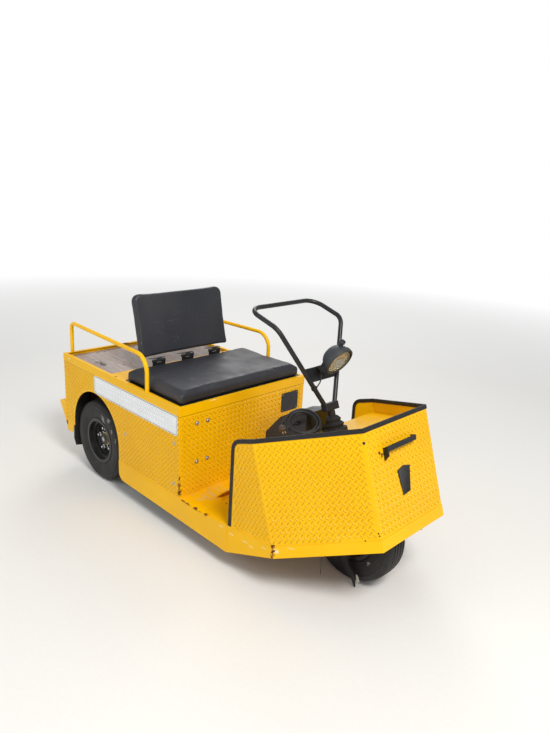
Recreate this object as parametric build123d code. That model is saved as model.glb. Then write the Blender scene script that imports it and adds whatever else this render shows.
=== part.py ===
from build123d import *
import math
import os

os.makedirs("parts", exist_ok=True)

# Three-wheeled electric burden carrier, steered by its single front wheel.
# X points forward, Y to the driver's left and Z up. Lengths are in millimetres. The pieces are
# worked out from the rear axle (X = 0) and the ground (Z = 0) and centred in X at the end.

# Stance and wheels
wheelbase = 1372.0
body_half = 382.0
tyre_to_side = 12.0
tyre_radius = 207.5
tyre_half = 52.5
tread_half = 23.0
shoulder_half = 44.0
shoulder_drop = 8.0
sidewall_drop = 45.0
flange_gap = 2.0
bead_gap = 0.2
rim_half = 46.0
rim_flange_radius = 117.0
rim_seat_radius = 104.0
rim_seat_half = 25.0
rim_well_radius = 90.0
rim_well_half = 21.0
rim_sheet = 3.0
disc_sheet = 5.0
disc_rim_x = 10.0
disc_hub_x = -8.0
disc_step_radius = 80.0
disc_hub_radius = 70.0
hub_hole_radius = 30.0
drum_radius = 80.0
drum_inner_end = 46.0
hub_flange_radius = 62.0
hub_flange_sheet = 8.0
rear_hub_radius = 34.0
rear_hub_front = 6.0
rear_cap_radius = 27.0
rear_cap_front = 20.0
front_hub_radius = 30.0
front_hub_half = 56.0
axle_shaft_radius = 15.0
front_axle_radius = 8.0
running_gap = 0.05

# Sheet metal box and floor. The chequered panels stand back by panel_inset behind the smooth band
# round the top and the smooth skirts below.
sheet = 3.0
panel_inset = 1.5
rear_panel_low = 205.0
box_rear = -308.0
box_front = 703.0
rim_top = 602.0
rim_band = 40.0
rim_flange = 16.0
floor_top = 185.0
floor_rear = 216.0
floor_bend_x = 850.0
arch_radius = 217.0
arch_centre_z = 250.0
side_panel_rear_z = 225.0
tail_skirt_length = 82.0
tail_skirt = [
    # distance ahead of the box's rear end, Z
    (0.0, 218.0),
    (17.0, 172.0),
    (67.0, 177.0),
]
skirt_bottom = 86.0
skirt_corner_radius = 40.0
skirt_end_x = 1020.0
lip_start_z = 80.0
lip_slope = 0.375
lip_proud = 2.0

# Nose: a folded sheet whose folds lean back by nose_tilt. Its outline is given along the tilted
# axes: u runs forward and up, v is square to it.
nose_tilt = 18.4
nose_side_fold_u = 1266.0
nose_narrowing = 14.0
nose_side_taper = 0.04
nose_front_u = 1649.0
nose_front_half = 198.0
nose_top_v = 218.3
nose_low_v = -620.0
nose_rear_reach = 420.0
nose_front_reach = 60.0
cut_height = 1200.0
nose_rear_x = 1026.0
nose_corner_radius = 50.0
seam_rear_z = 203.0
seam_fold_x = 1263.0
seam_fold_z = 221.0
seam_front_slope = 0.367
tray_depth = 60.0
column_hole_radius = 27.0
bulkhead_x = 1135.0
trim_band = 16.0
trim_proud = 2.5

# Load deck and seat
board_thickness = 19.0
board_drop = 20.0
board_end_x = 140.0
board_side_gap = 8.0
board_groove_y = 184.0
board_groove = 2.0
board_end_gap = 1.0
bearer_width = 40.0
bearer_height = 25.0
rear_bearer_x = -270.0
middle_bearer_x = -10.0
end_bearer_lap = 32.0
finger_hole_x = -90.0
finger_hole_y = -289.0
finger_hole_length = 88.0
finger_hole_width = 30.0
cross_plate_front = 256.0
seat_plate_lap = 20.0
cushion_front = 684.0
cushion_side_gap = 22.0
cushion_height = 56.0
cushion_radius = 16.0
cushion_corner_radius = 20.0
soft_gap = 0.3

# Backrest, its hinge line and its lean
hinge_x = 250.0
hinge_z = 663.0
backrest_lean = 12.9
backrest_half = 275.0
backrest_height = 336.0
backrest_thickness = 45.0
backrest_radius = 45.0
backrest_face_x = 3.7
pad_low = 14.0
leaf_width = 72.0
leaf_reach = 36.0
leaf_set_back = 1.0
leaf_sheet = 3.0
leaf_ys = (-172.0, 0.0, 172.0)
bracket_foot = 40.0
knuckle_radius = 7.0
knuckle_gap = 0.5
knuckle_share = 0.4
hinge_pin_radius = 3.0

# Tube guard rails beside the deck
rail_radius = 9.5
rail_top = 770.0
rail_rear_x = -298.0
rail_rear_inset = 47.0
rail_rear_bend = 35.0
rail_front_x = 449.0
rail_front_inset = 10.5
rail_front_bend = 78.0

# Rear bumper step
bumper_rear = -373.0
bumper_top = 325.0
bumper_fall = 2.0
bumper_bottom = 218.0
bumper_sheet = 4.0
bumper_edge = 12.0

# Steering
rake = 21.74
stem_radius = 15.0
head_tube_radius = 24.0
head_tube_low = 262.0
head_tube_high = 392.0
crown_low = 226.0
crown_high = 246.0
crown_half = 30.0
fork_leg_sheet = 8.0
fork_leg_width = 44.0
fork_gap = 9.5
axle_nut_radius = 13.0
axle_nut_height = 12.0
bearing_cup_radius = 21.0
bearing_gap = 6.0
yoke_low = 486.0
yoke_high = 516.0
yoke_length = 34.0
yoke_width = 78.0
yoke_corner = 8.0
bar_radius = 9.5
bar_base = (1186.0, 26.0, 674.0)
bar_bend = (1054.0, 190.0, 988.0)
bar_corner = (890.0, 192.0, 1036.0)
bar_bend_radius = 60.0
bar_corner_radius = 60.0
bracket_low_z = 775.0
bracket_high_z = 828.0
bracket_sheet = 4.0
shelf_half = 26.0
shelf_front = -12.0

# Bellows over the steering column: distance along the column from its foot, radius
boot_foot_radius = 50.0
boot_foot_height = 24.0
boot_lift = 14.0
boot_gap = 1.0
boot_profile = [
    (6.0, boot_foot_radius),
    (12.0, 36.0),
    (22.0, 42.0),
    (33.0, 29.0),
    (43.0, 33.0),
    (56.0, 20.0),
]

# Headlamp: a deep bowl round a flat-domed lens
lamp_centre = (1214.5, 0.0, 866.0)
lamp_drop = 29.0
lamp_radius = 63.5
lamp_rim_front = 4.0
lamp_rim_back = 14.0
lamp_rim_width = 6.0
lamp_wall = 3.0
lamp_bowl = [
    # distance behind the lens plane, outer radius
    (64.0, 24.0),
    (52.0, 43.0),
    (35.0, 54.5),
    (16.0, 61.0),
]
lamp_stud_radius = 9.0
lamp_stud_back = 34.0
lamp_stud_top = 45.0
lens_gap = 0.2
lens_seat = 5.0
lens_back = 2.0
lens_dome = [
    # distance in front of the lens plane, share of the radius
    (1.0, 1.0),
    (4.5, 0.7),
    (6.5, 0.35),
    (7.0, 0.0),
]

# Lead from the lamp down to its rubber clip on the right arm of the handlebar. The clip's share
# is its place along the straight arm, from the base up.
lamp_lead_radius = 2.5
lamp_grommet_radius = 5.0
lamp_grommet_length = 9.0
lamp_lead_route = [
    (1161.7, -29.4, 853.3),
    (1153.8, -42.5, 839.0),
    (1162.0, -41.0, 812.0),
    (1170.0, -51.0, 782.0),
    (1161.7, -63.3, 758.1),
]
clip_share = 0.25
clip_radius = 12.5
clip_width = 9.0

# Console between the driver's feet
console_half = 75.0
console_profile = [
    (866.0, 444.0),
    (942.0, 531.0),
    (987.0, 582.0),
    (1031.0, 609.0),
    (1132.0, 640.0),
]
console_chamfer = 40.0

# Chassis, springs, axle, motor and battery
rail_width = 40.0
rail_to_tyre = 25.0
rail_height = 60.0
cross_width = 40.0
cross_drop = 10.0
middle_cross_x = 640.0
chassis_front_x = 1110.0
kick_x = 290.0
rear_rail_low = 300.0
rear_rail_high = 350.0
bulkhead_foot_half = 60.0
bulkhead_foot_rear = 46.0
bulkhead_foot_front = 14.0
neck_half = 20.0
neck_sheet = 8.0
neck_drop = 12.0
neck_shin_x = 1149.0
neck_top_x = 1222.0
neck_outline = [
    # X, Z of the free edge, from the head tube round the fork's crown to the shin
    (1262.0, 450.0),
    (1198.0, 423.0),
    (1160.0, 380.0),
    (neck_shin_x, 300.0),
]
spring_half = 250.0
spring_width = 44.0
spring_leaf = 9.0
spring_rise = 44.0
spring_pad_half = 45.0
spring_pad_lap = 4.0
spring_pad_lift = 6.0
spring_eye_near = 30.0
spring_eye_far = 8.0
axle_tube_radius = 34.0
drum_gap = 5.5
backing_radius = 78.0
backing_sheet = 6.0
shaft_insert = 40.0
gearcase_half = 70.0
gearcase_rear = -78.0
gearcase_front = 72.0
gearcase_low = -80.0
gearcase_high = 150.0
gearcase_corner = 38.0
motor_radius = 80.0
motor_front = 288.0
motor_corner = 14.0
motor_z = 276.0
battery_x = (312.0, 672.0)
battery_side_gap = 117.5
battery_height = 280.0

# Grab handle on the nose: a flat strap in front of the panel, its right foot turned down
handle_right_y = -108.0
handle_left_y = 72.0
handle_low_v = 115.0
handle_high_v = 134.0
handle_proud = 22.0
handle_sheet = 5.0
handle_foot_low_v = 81.0
handle_foot_front_v = 98.0
handle_foot_high_v = 128.0

# Charging lead: four turns lying on the tray against the console
coil_centre = (1161.0, -125.0, 622.0)
coil_normal = (0.30, -0.35, 0.887)
coil_outer = 75.0
coil_inner = 50.0
coil_thickness = 20.0
coil_chamfer = 6.0
lead_radius = 4.75

gland_centre = (1085.0, 585.0)
gland_radius = 9.0
gland_length = 14.0
lead_route = [
    (1085.0, -89.0, 585.0),
    (1085.0, -104.0, 585.0),
    (1091.0, -123.0, 587.0),
    (1103.0, -143.0, 596.0),
    (1117.0, -160.0, 608.0),
]
plug_turn = 205.0
plug_size = (40.0, 24.0, 20.0)
plug_chamfer = 3.0
pin_radius = 2.2
pin_spacing = 10.0
pin_length = 11.0

# Pedals
pedal_y = 215.0
pedal_width = 80.0
pedal_heel = (805.0, 193.0)
pedal_toe = (860.0, 246.0)
pedal_sheet = 5.0
pedal_corner = 30.0
pedal_foot_inset = 6.0
pedal_foot_rear = 10.0
pedal_foot_front = 26.0

# Values that follow from the driving dimensions
rear_wheel_y = body_half - tyre_to_side - tyre_half
rail_y = rear_wheel_y - tyre_half - rail_to_tyre - rail_width / 2
axle_tube_end = rear_wheel_y - drum_inner_end - drum_gap
nose_side_fold_half = body_half - nose_narrowing
rail_rear_y = body_half - rail_rear_inset
rail_front_y = body_half - rail_front_inset
board_edge_y = body_half - board_side_gap
cushion_half = body_half - cushion_side_gap
body_inner = body_half - sheet
panel_face = body_half - panel_inset
panel_inner = panel_face - sheet
battery_half = panel_inner - battery_side_gap
front_panel_x = box_front - panel_inset
floor_low = floor_top - sheet
band_low = rim_top - rim_band
flange_low = rim_top - sheet
flange_inner_y = body_half - rim_flange
board_top = rim_top - board_drop
board_low = board_top - board_thickness
tilt_cos = math.cos(math.radians(nose_tilt))
tilt_sin = math.sin(math.radians(nose_tilt))
steer_x = math.sin(math.radians(rake))
steer_z = math.cos(math.radians(rake))
tray_v = nose_top_v - tray_depth
steering = Plane(
    origin=(wheelbase, 0, tyre_radius),
    x_dir=(steer_z, 0, steer_x),
    z_dir=(-steer_x, 0, steer_z),
).location


def block(x0, x1, y0, y1, z0, z1):
    """A box between two corners."""
    centre = Pos((x0 + x1) / 2, (y0 + y1) / 2, (z0 + z1) / 2)
    return centre * Box(abs(x1 - x0), abs(y1 - y0), abs(z1 - z0))


def side_face(points, rounds=()):
    """A face in the XZ plane; rounds lists (corner index, radius)."""
    face = make_face(Polyline(*points, close=True))
    for index, radius in rounds:
        corner = face.vertices().sort_by_distance(Vector(points[index][0], points[index][1], 0))[0]
        face = fillet(corner, radius)
    return Plane.XZ * face


def side_plate(points, y0, y1, rounds=()):
    """A plate of XZ outline that runs from y0 to y1."""
    plate = extrude(side_face(points, rounds), amount=abs(y1 - y0) / 2, both=True)
    return Pos(0, (y0 + y1) / 2, 0) * plate


def mirrored(shape):
    return mirror(shape, about=Plane.XZ)


def rod(points, bends, radius):
    """A round bar along straight runs with bends."""
    path = FilletPolyline(*points, radius=bends)
    start = Plane(origin=path @ 0, z_dir=path % 0)
    return sweep(start * Circle(radius), path=path)


def top_edge_z(x, v):
    """Height at x of the tilted plane v."""
    return (v + tilt_sin * x) / tilt_cos


def seam_z(x):
    """Height of the seam between the lower edge and the panels above it."""
    if x <= floor_bend_x:
        return floor_top
    if x <= nose_rear_x:
        return floor_top + (seam_rear_z - floor_top) * (x - floor_bend_x) / (nose_rear_x - floor_bend_x)
    if x <= seam_fold_x:
        return seam_rear_z + (seam_fold_z - seam_rear_z) * (x - nose_rear_x) / (seam_fold_x - nose_rear_x)
    return seam_fold_z + seam_front_slope * (x - seam_fold_x)


far_front = nose_front_u + nose_front_reach


def nose_block(outset, v0, v1):
    """The filled nose outline, grown by outset, between the tilted planes v0 and v1."""
    rear_u = nose_side_fold_u - nose_rear_reach
    rear_half = nose_side_fold_half + nose_side_taper * (nose_side_fold_u - rear_u)
    outline = [
        (rear_u, -rear_half),
        (nose_side_fold_u, -nose_side_fold_half),
        (nose_front_u, -nose_front_half),
        (nose_front_u, nose_front_half),
        (nose_side_fold_u, nose_side_fold_half),
        (rear_u, rear_half),
    ]
    face = make_face(Polyline(*outline, close=True))
    if outset:
        face = offset(face, amount=outset, kind=Kind.INTERSECTION)
    return Rot(0, -nose_tilt, 0) * Pos(0, 0, v0) * extrude(face, amount=v1 - v0)


def nose_wall(outer, inner):
    """The nose sheet between two outsets, over its whole height."""
    high_v = nose_top_v + 40.0
    return nose_block(outer, nose_low_v, high_v) - nose_block(inner, nose_low_v - 1, high_v + 1)


def nose_side(grow):
    """Side view of the nose panels, grown at the rear and top edges only."""
    rear = nose_rear_x - grow
    top = nose_top_v + grow
    points = [
        (rear, seam_z(nose_rear_x)),
        (nose_rear_x, seam_rear_z),
        (seam_fold_x, seam_fold_z),
        (far_front, seam_z(far_front)),
        (far_front, top_edge_z(far_front, top)),
        (rear, top_edge_z(rear, top)),
    ]
    if abs(grow) < 0.01:
        points = points[1:]
    elif grow < 0:
        points = [(rear, seam_z(rear))] + points[2:]
    rounds = [(len(points) - 1, nose_corner_radius + grow)]
    return side_plate(points, -body_half - 20, body_half + 20, rounds)


def cowl_shell():
    return nose_wall(0, -sheet) & nose_side(0)


def cowl_trim():
    band = nose_side(trim_proud) - nose_side(trim_proud - trim_band)
    return (nose_wall(trim_proud, -sheet - trim_proud) & band) - cowl_shell()


def front_lip():
    region = [
        (skirt_end_x, lip_start_z),
        (far_front, lip_start_z + lip_slope * (far_front - skirt_end_x)),
        (far_front, seam_z(far_front)),
        (seam_fold_x, seam_fold_z),
        (nose_rear_x, seam_rear_z),
        (skirt_end_x, seam_z(skirt_end_x)),
    ]
    return nose_wall(lip_proud, -sheet) & side_plate(region, -body_half - 20, body_half + 20)


def cowl_tray():
    pan = nose_block(-sheet, tray_v - sheet, tray_v)
    pan = pan & block(bulkhead_x - sheet, far_front, -body_half, body_half, 0, cut_height)
    below = side_plate(
        [
            (bulkhead_x - sheet, seam_z(bulkhead_x - sheet)),
            (bulkhead_x, seam_z(bulkhead_x)),
            (bulkhead_x, top_edge_z(bulkhead_x, tray_v)),
            (bulkhead_x - sheet, top_edge_z(bulkhead_x - sheet, tray_v)),
        ],
        -body_half,
        body_half,
    )
    wall = nose_block(-sheet, nose_low_v, nose_top_v) & below
    column_hole = steering * Pos(0, 0, head_tube_high) * Cylinder(column_hole_radius, tray_depth)
    return (pan + wall) - column_hole


def floor_pan():
    rear_part = side_plate(
        [
            (floor_rear, floor_low),
            (floor_bend_x, floor_low),
            (skirt_end_x, seam_z(skirt_end_x) - sheet),
            (skirt_end_x, seam_z(skirt_end_x)),
            (floor_bend_x, floor_top),
            (floor_rear, floor_top),
        ],
        -body_inner,
        body_inner,
    )
    front_end = bulkhead_x - sheet
    front_part = side_plate(
        [
            (skirt_end_x, seam_z(skirt_end_x) - sheet),
            (nose_rear_x, seam_rear_z - sheet),
            (front_end, seam_z(front_end) - sheet),
            (front_end, seam_z(front_end)),
            (nose_rear_x, seam_rear_z),
            (skirt_end_x, seam_z(skirt_end_x)),
        ],
        -body_half,
        body_half,
    )
    pan = rear_part + (nose_block(-sheet, nose_low_v, nose_top_v) & front_part)
    for side in (-1, 1):
        y0 = side * rail_y - rail_width / 2
        pan -= block(kick_x - 20, kick_x + 20, y0, y0 + rail_width, floor_low - 1, floor_top + 1)
    return pan


def skirts():
    side = side_plate(
        [
            (floor_rear, floor_top),
            (floor_rear, skirt_bottom),
            (skirt_end_x, lip_start_z),
            (skirt_end_x, seam_z(skirt_end_x)),
            (floor_bend_x, floor_top),
        ],
        -body_half,
        -body_inner,
        [(1, skirt_corner_radius)],
    )
    hem = [(box_rear + ahead, z) for ahead, z in tail_skirt]
    tail_end = (box_rear + tail_skirt_length, side_panel_rear_z)
    tail = side_plate([(box_rear, side_panel_rear_z)] + hem + [tail_end], -body_half, -body_inner)
    return [side, tail, mirrored(side), mirrored(tail)]


def side_panel():
    panel = block(box_rear, front_panel_x, -panel_face, -panel_inner, floor_top, band_low)
    panel -= block(box_rear - 1, 0, -panel_face - 1, -panel_inner + 1, 0, side_panel_rear_z)
    arch = Pos(0, 0, arch_centre_z) * Rot(90, 0, 0) * Cylinder(arch_radius, 3 * body_half)
    below_arch = block(-arch_radius, arch_radius, -panel_face - 1, -panel_inner + 1, 0, arch_centre_z)
    return panel - arch - below_arch


def box_front_panel():
    return block(front_panel_x - sheet, front_panel_x, -panel_inner, panel_inner, floor_top, band_low)


def rear_panel():
    return block(box_rear, box_rear + sheet, -panel_inner, panel_inner, rear_panel_low, band_low)


def rear_bumper():
    edge = bumper_top - bumper_fall
    step = side_plate(
        [
            (box_rear, bumper_top),
            (bumper_rear, edge),
            (box_rear, bumper_bottom),
        ],
        -body_half,
        body_half,
    )
    hollow = side_plate(
        [
            (box_rear, bumper_top - bumper_sheet),
            (bumper_rear + bumper_edge, edge - bumper_sheet - 1),
            (box_rear, bumper_bottom + 2 * bumper_sheet),
        ],
        -body_half + bumper_sheet,
        body_half - bumper_sheet,
    )
    return step - hollow


def deck_rim():
    band = block(box_rear, box_front, -body_half, body_half, band_low, rim_top)
    inside = block(box_rear + sheet, box_front - sheet, -body_inner, body_inner, band_low - 1, flange_low)
    window = block(
        box_rear + rim_flange,
        box_front - rim_flange,
        -flange_inner_y,
        flange_inner_y,
        flange_low - 1,
        rim_top + 1,
    )
    return band - inside - window


def deck_bearers():
    bars = []
    half = bearer_width / 2
    low = board_low - bearer_height
    for x in (rear_bearer_x, middle_bearer_x, board_end_x - end_bearer_lap + half):
        bar = block(x - half, x + half, -panel_inner, panel_inner, low, board_low)
        bar -= block(x - half + sheet, x + half - sheet, -body_half, body_half, low - 1, board_low - sheet)
        bars.append(bar)
    return bars


def deck_boards():
    edges = [-board_edge_y, -board_groove_y, 0.0, board_groove_y, board_edge_y]
    slot = extrude(SlotOverall(finger_hole_length, finger_hole_width), amount=2 * board_thickness, both=True)
    hole = Pos(finger_hole_x, finger_hole_y, board_low) * slot
    boards = []
    for low, high in zip(edges, edges[1:]):
        inner_low = low + (board_groove / 2 if low > -board_edge_y else 0)
        inner_high = high - (board_groove / 2 if high < board_edge_y else 0)
        rear = box_rear + sheet + board_end_gap
        board = block(rear, board_end_x - soft_gap, inner_low, inner_high, board_low, board_top)
        boards.append(board - hole if low <= finger_hole_y <= high else board)
    return boards


def deck_cross_plate():
    plate = block(board_end_x, cross_plate_front, -flange_inner_y, flange_inner_y, flange_low, rim_top)
    leg = block(board_end_x, board_end_x + sheet, -flange_inner_y, flange_inner_y, board_low, rim_top)
    return plate + leg


def seat_plate():
    return block(cross_plate_front - seat_plate_lap, box_front - sheet, -body_inner, body_inner,
                 flange_low - sheet, flange_low)


def seat_cushion():
    low = flange_low + soft_gap
    high = low + cushion_height
    shape = block(cross_plate_front + 1, cushion_front, -cushion_half, cushion_half, low, high)
    shape = fillet(shape.edges().filter_by(Axis.Z), cushion_corner_radius)
    return fillet(shape.edges().group_by(Axis.Z)[-1], cushion_radius)


def side_rail():
    points = [
        (rail_rear_x, -rail_rear_y, rim_top),
        (rail_rear_x, -rail_rear_y, rail_top - rail_radius),
        (rail_front_x, -rail_front_y, rail_top - rail_radius),
        (rail_front_x, -rail_front_y, rim_top),
    ]
    return rod(points, [rail_rear_bend, rail_front_bend], rail_radius)


def nose_handle():
    """The strap, with its left foot straight back to the panel and its right foot turned down."""
    face = nose_front_u
    front = face + handle_proud
    y0 = handle_right_y
    y1 = handle_left_y
    handle = block(front - handle_sheet, front, y0, y1, handle_low_v, handle_high_v)
    handle += block(face, front, y1 - handle_sheet, y1, handle_low_v, handle_high_v)
    foot = [
        (face, handle_foot_low_v),
        (front, handle_foot_front_v),
        (front, handle_high_v),
        (face, handle_foot_high_v),
    ]
    handle += side_plate(foot, y0, y0 + handle_sheet)
    return Rot(0, -nose_tilt, 0) * handle


def console_housing():
    front = bulkhead_x - sheet
    rear = console_profile[0][0]
    outline = [(rear, seam_z(rear))] + console_profile[:-1]
    outline += [(front, console_profile[-1][1]), (front, seam_z(front)), (nose_rear_x, seam_rear_z)]
    housing = side_plate(outline, -console_half, console_half)
    rear_edges = housing.edges().filter_by(Axis.Z).sort_by(Axis.X)[:2]
    housing = chamfer(rear_edges, console_chamfer)
    gland = Pos(gland_centre[0], -console_half - gland_length / 2, gland_centre[1])
    return housing + gland * Rot(90, 0, 0) * Cylinder(gland_radius, gland_length)


def column_boot():
    base = head_tube_high + boot_lift
    bore = stem_radius + boot_gap
    folds = [(radius, base + height) for height, radius in boot_profile]
    profile = [(bore, base), (boot_foot_radius, base)] + folds + [(bore, folds[-1][1])]
    ring = revolve(Plane.XZ * make_face(Polyline(*profile, close=True)), axis=Axis.Z)
    foot = Cylinder(boot_foot_radius, boot_foot_height) - Cylinder(bore, boot_foot_height + 2)
    boot = steering * (ring + Pos(0, 0, base - boot_foot_height / 2) * foot)
    above_tray = Rot(0, -nose_tilt, 0) * block(
        nose_rear_x,
        far_front,
        -console_half,
        console_half,
        tray_v,
        tray_v + nose_side_fold_half,
    )
    return boot & above_tray


def head_tube():
    length = head_tube_high - head_tube_low
    tube = Pos(0, 0, head_tube_low + length / 2) * Cylinder(head_tube_radius, length)
    tube -= Pos(0, 0, head_tube_low + length / 2) * Cylinder(stem_radius + running_gap, length + 2)
    return steering * tube


def neck_plate(y):
    """One of the two plates that carry the head tube ahead of the bulkhead."""
    foot_z = floor_low - rail_height
    outline = [(x, top_edge_z(x, tray_v - sheet) - neck_drop) for x in (bulkhead_x, neck_top_x)]
    outline = [(bulkhead_x, foot_z)] + outline + neck_outline + [(neck_shin_x, foot_z)]
    return side_plate(outline, y - neck_sheet / 2, y + neck_sheet / 2)


def chassis_frame():
    frame = head_tube() + neck_plate(-neck_half) + neck_plate(neck_half)
    bore_length = 2 * (head_tube_high - head_tube_low)
    bore = Cylinder(stem_radius + running_gap, 2 * bore_length)
    frame -= steering * Pos(0, 0, head_tube_low + bore_length / 2) * bore
    low = floor_low - rail_height
    half = cross_width / 2
    for side in (-1, 1):
        y0 = side * rail_y - rail_width / 2
        y1 = side * rail_y + rail_width / 2
        frame += block(kick_x - half, chassis_front_x, y0, y1, low, floor_low)
        frame += block(kick_x - half, kick_x + half, y0, y1, floor_low, rear_rail_high)
        frame += block(box_rear + sheet, kick_x + half, y0, y1, rear_rail_low, rear_rail_high)
    for x in (kick_x, middle_cross_x, chassis_front_x - half):
        frame += block(x - half, x + half, -rail_y, rail_y, low, floor_low - cross_drop)
    rear = box_rear + sheet
    frame += block(rear, rear + cross_width, -rail_y, rail_y, rear_rail_low, rear_rail_high)
    foot_rear = bulkhead_x - bulkhead_foot_rear
    foot_front = bulkhead_x + bulkhead_foot_front
    return frame + block(foot_rear, foot_front, -bulkhead_foot_half, bulkhead_foot_half, low, floor_low)


def rear_axle():
    tube = Rot(90, 0, 0) * Cylinder(axle_tube_radius, 2 * axle_tube_end)
    case = block(gearcase_rear, gearcase_front, -gearcase_half, gearcase_half, gearcase_low, gearcase_high)
    axle = tube + fillet(case.edges().filter_by(Axis.Y), gearcase_corner)
    for side in (-1, 1):
        plate = Cylinder(backing_radius, backing_sheet)
        axle += Pos(0, side * (axle_tube_end - backing_sheet / 2), 0) * Rot(90, 0, 0) * plate
        bore = Cylinder(axle_shaft_radius + running_gap, 2 * shaft_insert + 10)
        axle -= Pos(0, side * axle_tube_end, 0) * Rot(90, 0, 0) * bore
    return Pos(0, 0, tyre_radius) * axle


def drive_motor():
    length = motor_front - gearcase_front
    body = Pos(gearcase_front + length / 2, 0, motor_z) * Rot(0, 90, 0) * Cylinder(motor_radius, length)
    return fillet(body.edges().group_by(Axis.X)[-1], motor_corner)


def leaf_spring():
    """One spring on the middle of the car, from its pad on the axle to its eyes under the rail."""
    axle_top = tyre_radius + axle_tube_radius
    low = axle_top + spring_rise
    high = low + spring_leaf
    under = ThreePointArc((-spring_half, low), (0, axle_top + spring_leaf), (spring_half, low))
    over = ThreePointArc((-spring_half, high), (0, axle_top + 2 * spring_leaf), (spring_half, high))
    face = make_face([under, Line(under @ 1, over @ 1), over, Line(over @ 0, under @ 0)])
    half = spring_width / 2
    spring = extrude(Plane.XZ * face, amount=half, both=True)
    pad_high = axle_top + spring_leaf + spring_pad_lift
    pad = block(-spring_pad_half, spring_pad_half, -half, half, axle_top - spring_pad_lap, pad_high)
    pad -= Pos(0, 0, tyre_radius) * Rot(90, 0, 0) * Cylinder(axle_tube_radius, 2 * spring_width)
    spring += pad
    for end in (-1, 1):
        near = end * (spring_half - spring_eye_near)
        far = end * (spring_half - spring_eye_far)
        spring += block(near, far, -half, half, low - 2, rear_rail_low)
    return spring


def leaf_springs():
    return [Pos(0, side * rail_y, 0) * leaf_spring() for side in (-1, 1)]


def battery_block():
    rear, front = battery_x
    return block(rear, front, -battery_half, battery_half, floor_top, floor_top + battery_height)


def pedals():
    heel = Vector(pedal_heel[0], 0, pedal_heel[1])
    toe = Vector(pedal_toe[0], 0, pedal_toe[1])
    length = (toe - heel).length
    slope = math.degrees(math.atan2(toe.Z - heel.Z, toe.X - heel.X))
    pad = Pos(length / 2, 0, 0) * Box(length, pedal_width, pedal_sheet)
    pad = fillet(pad.edges().filter_by(Axis.Z).sort_by(Axis.X)[2:], pedal_corner)
    pad = Pos(heel.X, 0, heel.Z) * Rot(0, -slope, 0) * pad
    half = pedal_width / 2 - pedal_foot_inset
    foot = block(heel.X - pedal_foot_rear, heel.X + pedal_foot_front, -half, half, floor_top, heel.Z + 1)
    return [Pos(0, side * pedal_y, 0) * (pad + foot) for side in (-1, 1)]


def along_hinge(radius, length, y):
    """A round piece on the backrest's hinge line, built with that line as its origin."""
    return Pos(0, y, 0) * Rot(90, 0, 0) * Cylinder(radius, length)


def backrest_bracket(y):
    half = leaf_width / 2
    middle = knuckle_share * half
    drop = rim_top - hinge_z
    bracket = block(-bracket_foot, leaf_sheet, y - half, y + half, drop, drop + leaf_sheet)
    bracket += block(0, leaf_sheet, y - half, y + half, drop, 0)
    for side in (-1, 1):
        bracket += along_hinge(knuckle_radius, half - middle, y + side * (half + middle) / 2)
    reach = knuckle_radius + 2
    bracket -= block(-reach, reach, y - middle, y + middle, -reach, reach)
    bracket += along_hinge(hinge_pin_radius, leaf_width, y)
    return Pos(hinge_x, 0, hinge_z) * bracket


def backrest_brackets():
    return [backrest_bracket(y) for y in leaf_ys]


def lean(shape):
    """Turn a shape built upright on the hinge line to the backrest's lean."""
    return Pos(hinge_x, 0, hinge_z) * Rot(0, -backrest_lean, 0) * shape


def backrest_leaf(y):
    """A knuckle whose leaf is bent back under the pad."""
    half = leaf_width / 2
    middle = knuckle_share * half - knuckle_gap
    high = pad_low - soft_gap
    front = knuckle_radius - leaf_set_back
    leaf = along_hinge(knuckle_radius, 2 * middle, y)
    leaf += block(front - leaf_sheet, front, y - middle, y + middle, 0, high)
    leaf += block(-leaf_reach, front, y - half, y + half, high - leaf_sheet, high)
    return lean(leaf - along_hinge(hinge_pin_radius + running_gap, leaf_width, y))


def backrest_leaves():
    return [backrest_leaf(y) for y in leaf_ys]


def backrest_pad():
    rear = backrest_face_x - backrest_thickness
    pad = block(rear, backrest_face_x, -backrest_half, backrest_half, pad_low, backrest_height)
    top_corners = pad.edges().filter_by(Axis.X).group_by(Axis.Z)[-1]
    return lean(fillet(top_corners, backrest_radius))


def steering_fork():
    inner = tyre_half + fork_gap
    outer = inner + fork_leg_sheet
    middle = (inner + outer) / 2
    cup_high = head_tube_low - bearing_gap
    fork = block(-crown_half, crown_half, -outer, outer, crown_low, crown_high)
    for side in (-1, 1):
        leg = block(-fork_leg_width / 2, fork_leg_width / 2, inner, outer, 0, crown_low)
        fork += leg if side > 0 else mirrored(leg)
        foot = Cylinder(fork_leg_width / 2, fork_leg_sheet)
        fork += Pos(0, side * middle, 0) * Rot(90, 0, 0) * foot
        nut = extrude(RegularPolygon(axle_nut_radius, 6), amount=axle_nut_height / 2, both=True)
        fork += Pos(0, side * (outer + axle_nut_height / 2), 0) * Rot(90, 0, 0) * nut
    fork += Rot(90, 0, 0) * Cylinder(front_axle_radius, 2 * outer + axle_nut_height)
    fork += Pos(0, 0, (crown_high + yoke_low) / 2) * Cylinder(stem_radius, yoke_low - crown_high)
    fork += Pos(0, 0, (crown_high + cup_high) / 2) * Cylinder(bearing_cup_radius, cup_high - crown_high)
    return steering * fork


def handlebar():
    right = [(x, -y, z) for x, y, z in (bar_base, bar_bend, bar_corner)]
    left = [bar_corner, bar_bend, bar_base]
    bends = [bar_bend_radius, bar_corner_radius, bar_corner_radius, bar_bend_radius]
    bar = rod(right + left, bends, bar_radius)
    yoke = Pos(0, 0, (yoke_low + yoke_high) / 2) * Box(yoke_length, yoke_width, yoke_high - yoke_low)
    yoke = fillet(yoke.edges().filter_by(Axis.Z), yoke_corner)
    return bar + steering * yoke


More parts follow.
